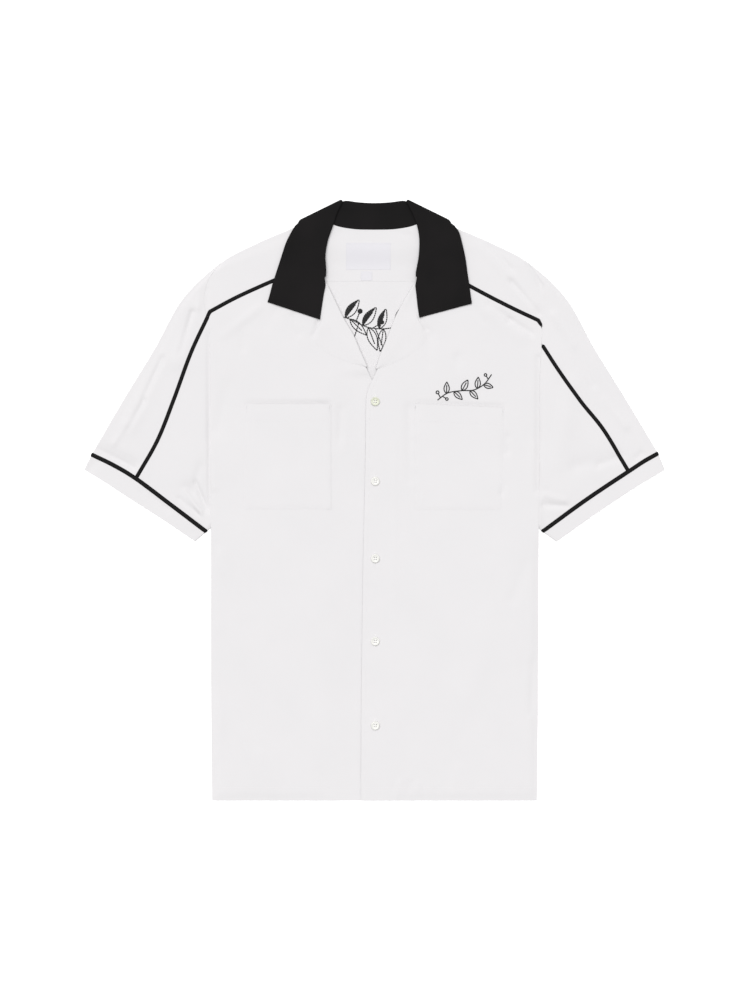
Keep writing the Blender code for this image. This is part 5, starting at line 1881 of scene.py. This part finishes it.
def sew_pocket(threads, side):
    """The rows round a pocket and under its hem, and a bartack at each end of its mouth."""
    top_in, top_out, low_out, low_in = (flat(corner) for corner in POCKET[side])
    centre = (top_in + top_out + low_out + low_in) / 4
    piece = f"pocket_{side}"

    def inside(corner):
        return corner + Vector((math.copysign(EDGE_STITCH, centre.x - corner.x), 0))

    low = Vector((0, EDGE_STITCH))
    path = [inside(top_in) - low, inside(low_in) + low, inside(low_out) + low, inside(top_out) - low]
    for a, b in zip(path, path[1:]):
        sew(threads, piece, mirrored(side, [a, b]))
    share = POCKET_HEM / (top_in - low_in).length
    band = [inside(top_in.lerp(low_in, share)), inside(top_out.lerp(low_out, share))]
    sew(threads, piece, mirrored(side, band))
    for corner in (path[0], path[-1]):
        for turn in range(BARTACK_STITCHES):
            start = corner - Vector((BARTACK_WIDTH / 2, BARTACK_START + turn * BARTACK_PITCH))
            across = [start, start + Vector((BARTACK_WIDTH, 0))]
            sew(threads, piece, mirrored(side, across), gap=0.0)


def sew_cuff(threads, side):
    path = []
    for share in steps(SEAM_STEPS):
        path.append(cuff_point(side, lerp(*CUFF_ROW, share), CUFF_PIPING_CLEAR + EDGE_STITCH))
    for under in (False, True):
        sew(threads, f"cuff_{side}", mirrored(side, path), under)


def sew_collar(threads, side):
    """The collar's edge stitch: up its front end, then round the fall's edge."""
    rows = COLLAR_NEAR[side]
    _, tip, corner = collar_ends(rows[0])
    end_way = (tip - corner).normalized()
    edge = []
    for share in steps(COLLAR_ROW_STEPS):
        _, roll, place = collar_ends(curve(rows, lerp(*COLLAR_ROW, share)))
        edge.append(place + (roll - place).normalized() * TOP_STITCH)
    lift = left_of(end_way)
    if lift.y < 0:
        lift = -lift
    front = [
        tip + lift * TOP_STITCH - end_way * COLLAR_ROW_END,
        corner + lift * TOP_STITCH + end_way * TOP_STITCH,
    ]
    inside = [point for point in edge if (point - front[1]).dot(lift) > 0]
    sew(threads, "collar", mirrored(side, front))
    sew(threads, "collar", mirrored(side, inside))


def sew_back(threads):
    """The rows on the outside of the back panel, beside the yoke's seam and along the hem."""
    seam_reach, seam_y = BACK_ARMHOLE_TOP - SEAM_END, YOKE_SEAM_Y - EDGE_STITCH
    hem_y = HEM_Y + HEM_DEPTH
    for reach, y in ((seam_reach, seam_y), (BACK_HEM_REACH, hem_y)):
        sew(threads, "back", [Vector((-reach, y)), Vector((reach, y))], under=True)


def sew_patch(threads, name, size, centre, top_row=False):
    """A row down each end of a label, and one along its upper edge where that is asked for."""
    middle, half = Vector(centre), Vector(size) / 2
    low, high = middle.y - half.y + LABEL_STITCH_END, middle.y + half.y - LABEL_STITCH_END
    for across in (-1, 1):
        x = middle.x + across * (half.x - LABEL_STITCH)
        sew(threads, name, [Vector((x, low)), Vector((x, high))])
    if top_row:
        y = middle.y + half.y - LABEL_STITCH
        start, end = middle.x - half.x + LABEL_STITCH_END, middle.x + half.x - LABEL_STITCH_END
        sew(threads, name, [Vector((start, y)), Vector((end, y))])


def add_sewing(finishes):
    white = Threads()
    for side in SIDES:
        sew_front(white, side)
        sew_pocket(white, side)
        sew_cuff(white, side)
    sew_back(white)
    sew_patch(white, "label", LABEL_SIZE, LABEL_CENTRE, top_row=True)
    sew_patch(white, "size_tab", TAB_SIZE, TAB_CENTRE)
    white.add("stitches_white", finishes["thread"])
    black = Threads()
    for side in SIDES:
        sew_collar(black, side)
    black.add("stitches_collar", finishes["black_thread"])


def add_buttonholes(finishes):
    """A worked slit under each button, along the front edge, with a bar across each end."""
    threads = Threads()
    for button_y in BUTTON_ROWS_Y:
        middle = button_y + BUTTONHOLE_RISE
        for share in steps(round(BUTTONHOLE_LENGTH / BUTTONHOLE_PITCH)):
            y = middle + BUTTONHOLE_LENGTH * (share - 0.5)
            for way in (-1, 1):
                inner, normal = on_piece("front_left", (BUTTON_X + way * BUTTONHOLE_SLIT, y))
                outer, _ = on_piece("front_left", (BUTTON_X + way * BUTTONHOLE_REACH, y))
                threads.stitch(inner, outer, normal, BUTTONHOLE_THREAD, BUTTONHOLE_FLATNESS)
        for end in (-1, 1):
            y = middle + end * (BUTTONHOLE_LENGTH / 2 + BAR_GAP)
            for shift in BAR_STITCHES:
                x = BUTTON_X + shift * BAR_PITCH
                start, normal = on_piece("front_left", (x, y - BAR_HALF))
                stop, _ = on_piece("front_left", (x, y + BAR_HALF))
                threads.stitch(start, stop, normal, BAR_THREAD, BUTTONHOLE_FLATNESS)
    threads.add("buttonhole_stitches", finishes["thread"])


# ------------------------------------------------------------------------------ embroidery

Leaf = namedtuple("Leaf", "place turn length width")
STEM_STEPS = 60
LEAF_STEPS = 14
LEAF_BELLY_POWER = 0.8
VEIN_SHARE = 0.72
RING_STEPS = 18

# Chain stitch: its links' width, pitch in widths, thread, points, overlap and height over the cloth
CHAIN_WIDTH = 1.5
CHAIN_PITCH = 1.05
CHAIN_THREAD = 0.36
CHAIN_POINTS = 9
CHAIN_SIDES = 5
CHAIN_REACH = 0.62
CHAIN_LEVEL = 0.75
CHAIN_TILT = 0.35

# Satin stitch fills a leaf from a share of its length, over a share of it, with slanting stitches
SATIN_PITCH = 1.0
SATIN_START = 0.1
SATIN_SHARE = 0.8
SATIN_SLANT = 0.06
SATIN_THREAD = 0.55

# Thick line stitches of the back's sprig, as they show on the inside and on the outside
INSIDE_LENGTH = 2.9
INSIDE_THREAD = 0.8
OUTSIDE_LENGTH = 2.2
OUTSIDE_GAP = 0.1
OUTSIDE_THREAD = 0.9


def leaf_belly(share, width):
    """Half a leaf's width at a share of its length."""
    return math.sin(math.pi * share**LEAF_BELLY_POWER) * width / 2


def leaf_outline(base, angle, length, width):
    """The outline of a pointed leaf, from its base out to its tip and back, and its vein."""
    way = Vector((math.cos(angle), math.sin(angle)))
    aside = left_of(way)
    outline = []
    out = steps(LEAF_STEPS)
    for sign, shares in ((1, out), (-1, out[::-1])):
        for share in shares:
            belly = leaf_belly(share, width)
            outline.append(base + way * (length * share) + aside * (belly * sign))
    vein = [base, base + way * length * VEIN_SHARE]
    return outline, vein


def ring_outline(centre, radius):
    angles = [2 * math.pi * share for share in steps(RING_STEPS)]
    return [centre + Vector((math.cos(angle), math.sin(angle))) * radius for angle in angles]


def branch(stem, leaf):
    """Where a leaf or a berry's stalk leaves the stem, and at what angle."""
    way = tangent(stem, leaf.place)
    return curve_point(stem, leaf.place), math.atan2(way.y, way.x) + math.radians(leaf.turn)


def sprig_paths(stem, leaves, berries):
    """The lines of a leafy sprig: its stem, leaves with veins, and berries on short stalks."""
    last = len(stem) - 1
    paths = [[curve_point(stem, last * share) for share in steps(STEM_STEPS)]]
    for leaf in leaves:
        paths += leaf_outline(*branch(stem, leaf), leaf.length, leaf.width)
    for berry in berries:
        base, angle = branch(stem, berry)
        out = Vector((math.cos(angle), math.sin(angle)))
        paths.append([base, base + out * berry.length])
        paths.append(ring_outline(base + out * (berry.length + berry.width / 2), berry.width / 2))
    return paths


CHEST_STEM = (
    Point(82, 130),
    Point(95, 139),
    Point(112, 142),
    Point(129, 143),
    Point(143, 151),
    Point(152, 163),
)
CHEST_LEAVES = (
    Leaf(0.9, 62, 15, 7),
    Leaf(1.5, -52, 15, 7),
    Leaf(2.1, 58, 16, 7.5),
    Leaf(2.7, -50, 15, 7),
    Leaf(3.3, 60, 15, 7),
    Leaf(3.9, -56, 13, 6.5),
)
CHEST_BERRIES = (
    Leaf(0.3, 80, 6, 4),
    Leaf(4.5, 66, 5, 3.6),
    Leaf(0.5, -70, 5, 3.6),
)
BACK_STEM = (
    Point(-140, 204),
    Point(-92, 226),
    Point(-44, 238),
    Point(-6, 224),
    Point(30, 226),
    Point(76, 250),
    Point(134, 240),
)
BACK_LEAVES = (
    Leaf(0.4, 50, 38, 15),
    Leaf(0.75, -48, 38, 15),
    Leaf(1.2, 52, 34, 14),
    Leaf(1.6, -54, 38, 14),
    Leaf(2.15, 66, 30, 12),
    Leaf(2.3, -22, 30, 10),
    Leaf(2.75, 78, 30, 12),
    Leaf(2.95, -56, 32, 12),
    Leaf(3.35, 74, 28, 11),
    Leaf(3.5, -100, 30, 10),
    Leaf(4.0, 52, 32, 14),
    Leaf(4.35, -54, 36, 14),
    Leaf(4.9, 50, 34, 14),
    Leaf(5.3, -50, 34, 14),
)
BACK_BERRIES = (
    Leaf(0.1, 90, 14, 7),
    Leaf(2.5, 96, 12, 6),
    Leaf(2.6, -80, 20, 6),
    Leaf(3.2, -62, 30, 6),
    Leaf(3.1, 40, 12, 5),
    Leaf(5.9, 40, 10, 7),
)


def satin_fill(threads, stem, leaves, berries, under):
    """Close slanting stitches that fill one half of each leaf, and each berry, on the back."""
    for leaf in leaves:
        base = curve_point(stem, leaf.place)
        way = tangent(stem, leaf.place)
        turned = Matrix.Rotation(math.radians(leaf.turn), 2) @ way
        aside = left_of(turned)
        for share in steps(round(leaf.length * SATIN_SHARE / SATIN_PITCH)):
            place = SATIN_START + SATIN_SHARE * share
            belly = leaf_belly(place, leaf.width)
            inner = base + turned * leaf.length * (place - SATIN_SLANT)
            outer = base + turned * leaf.length * place + aside * belly
            sew(threads, "back", [inner, outer], under, length=belly, gap=0.0, radius=SATIN_THREAD)
    for berry in berries:
        way = Matrix.Rotation(math.radians(berry.turn), 2) @ tangent(stem, berry.place)
        centre = curve_point(stem, berry.place) + way * (berry.length + berry.width / 2)
        for share in steps(round(berry.width / SATIN_PITCH))[1:-1]:
            rise = berry.width * (share - 0.5)
            half = math.sqrt(berry.width**2 / 4 - rise**2)
            ends = [centre + Vector((-half, rise)), centre + Vector((half, rise))]
            sew(threads, "back", ends, under, length=2 * half, gap=0.0, radius=SATIN_THREAD)


def chain_stitch(threads, piece, path):
    """Links of chain stitch along a plan path, each a closed loop of thread that tilts up."""
    points = spaced(path, CHAIN_WIDTH * CHAIN_PITCH)
    half = CHAIN_WIDTH / 2 - CHAIN_THREAD
    for a, b in zip(points, points[1:]):
        way = (b - a).normalized()
        aside = left_of(way)
        loop = []
        start, normal = on_piece(piece, a)
        reach = (b - a).length
        for turn in range(CHAIN_POINTS):
            angle = 2 * math.pi * turn / CHAIN_POINTS
            back = -math.cos(angle)
            plan = a + way * (reach * (0.5 + CHAIN_REACH * back)) + aside * (math.sin(angle) * half)
            rise = CHAIN_LEVEL + CHAIN_TILT * back
            loop.append(Vector((*plan, start.z)) + normal * CHAIN_THREAD * rise)
        threads.tube(loop, [CHAIN_THREAD] * CHAIN_POINTS, normal, sides=CHAIN_SIDES, closed=True)


def add_embroidery(finishes):
    """The chest's sprig, and the back's, which shows on the inside and the outside."""
    chest = Threads()
    for path in sprig_paths(CHEST_STEM, CHEST_LEAVES, CHEST_BERRIES):
        chain_stitch(chest, "front_left", path)
    chest.add("chest_sprig", finishes["black_thread"])
    outside = Threads()
    inside = Threads()
    for path in sprig_paths(BACK_STEM, BACK_LEAVES, BACK_BERRIES):
        sew(inside, "back", path, length=INSIDE_LENGTH, gap=0.0, radius=INSIDE_THREAD)
        sew(
            outside,
            "back",
            path,
            under=True,
            length=OUTSIDE_LENGTH,
            gap=OUTSIDE_GAP,
            radius=OUTSIDE_THREAD,
        )
    for threads in (inside, outside):
        satin_fill(threads, BACK_STEM, BACK_LEAVES[::2], BACK_BERRIES, threads is outside)
    inside.add("back_sprig_inside", finishes["black_thread"])
    outside.add("back_sprig_outside", finishes["black_thread"])


# ------------------------------------------------------------------------- camera and light


def add_camera():
    data = bpy.data.cameras.new("camera")
    data.sensor_fit = "VERTICAL"
    data.sensor_height = CAMERA_SENSOR
    data.lens = CAMERA_LENS
    camera = bpy.data.objects.new("camera", data)
    camera.location = (CAMERA_X, 0, CAMERA_HEIGHT)
    bpy.context.scene.collection.objects.link(camera)
    bpy.context.scene.camera = camera


def add_floor():
    mesh = bpy.data.meshes.new("floor")
    corners = [(x * FLOOR_REACH, y * FLOOR_REACH, 0) for x, y in ((-1, -1), (1, -1), (1, 1), (-1, 1))]
    mesh.from_pydata(corners, [], [(0, 1, 2, 3)])
    settings = {
        "Base Color": (0.98, 0.98, 0.98, 1),
        "Roughness": 0.9,
        "Emission Color": (1, 1, 1, 1),
        "Emission Strength": FLOOR_GLOW,
    }
    made, _, _ = shader_material("floor_paper", settings)
    mesh.materials.append(made)
    floor = bpy.data.objects.new("floor", mesh)
    bpy.context.scene.collection.objects.link(floor)


def add_light():
    world = bpy.data.worlds.new("studio")
    world.use_nodes = True
    world.node_tree.nodes["Background"].inputs["Color"].default_value = (1, 1, 1, 1)
    world.node_tree.nodes["Background"].inputs["Strength"].default_value = WORLD_STRENGTH
    bpy.context.scene.world = world
    data = bpy.data.lights.new("key", "SUN")
    data.energy = KEY_STRENGTH
    data.angle = math.radians(KEY_SPREAD)
    light = bpy.data.objects.new("key", data)
    light.rotation_mode = "QUATERNION"
    light.rotation_quaternion = (-Vector(KEY_FROM)).to_track_quat("-Z", "Y")
    bpy.context.scene.collection.objects.link(light)
    bpy.context.scene.view_settings.view_transform = "Standard"


# ------------------------------------------------------------------------------------ shirt


# A record for a sheet's cut as far as it shows, in millimetres and square millimetres, with a slot and what
# it rests on; no sheet is given one here
Cut = namedtuple("Cut", "width length area slot rests_on")


def main():
    finishes = make_materials()
    white = finishes["shirting"]
    add_back(white)
    add_yoke(white)
    add_collar(finishes["collar"])
    for side in SIDES:
        add_front(side, white)
        add_facing(side, white)
        add_pocket(side, white)
        add_sleeve(side, white)
        add_cuff(side, white)
        add_piping(side, finishes["piping"])
    add_patch("label", LABEL_SIZE, LABEL_CENTRE, finishes["label"])
    add_patch("size_tab", TAB_SIZE, TAB_CENTRE, finishes["label"])
    add_buttonholes(finishes)
    for number, y in enumerate(BUTTON_ROWS_Y, 1):
        add_button(number, y, finishes)
    add_sewing(finishes)
    add_embroidery(finishes)
    add_floor()
    add_light()
    add_camera()


main()
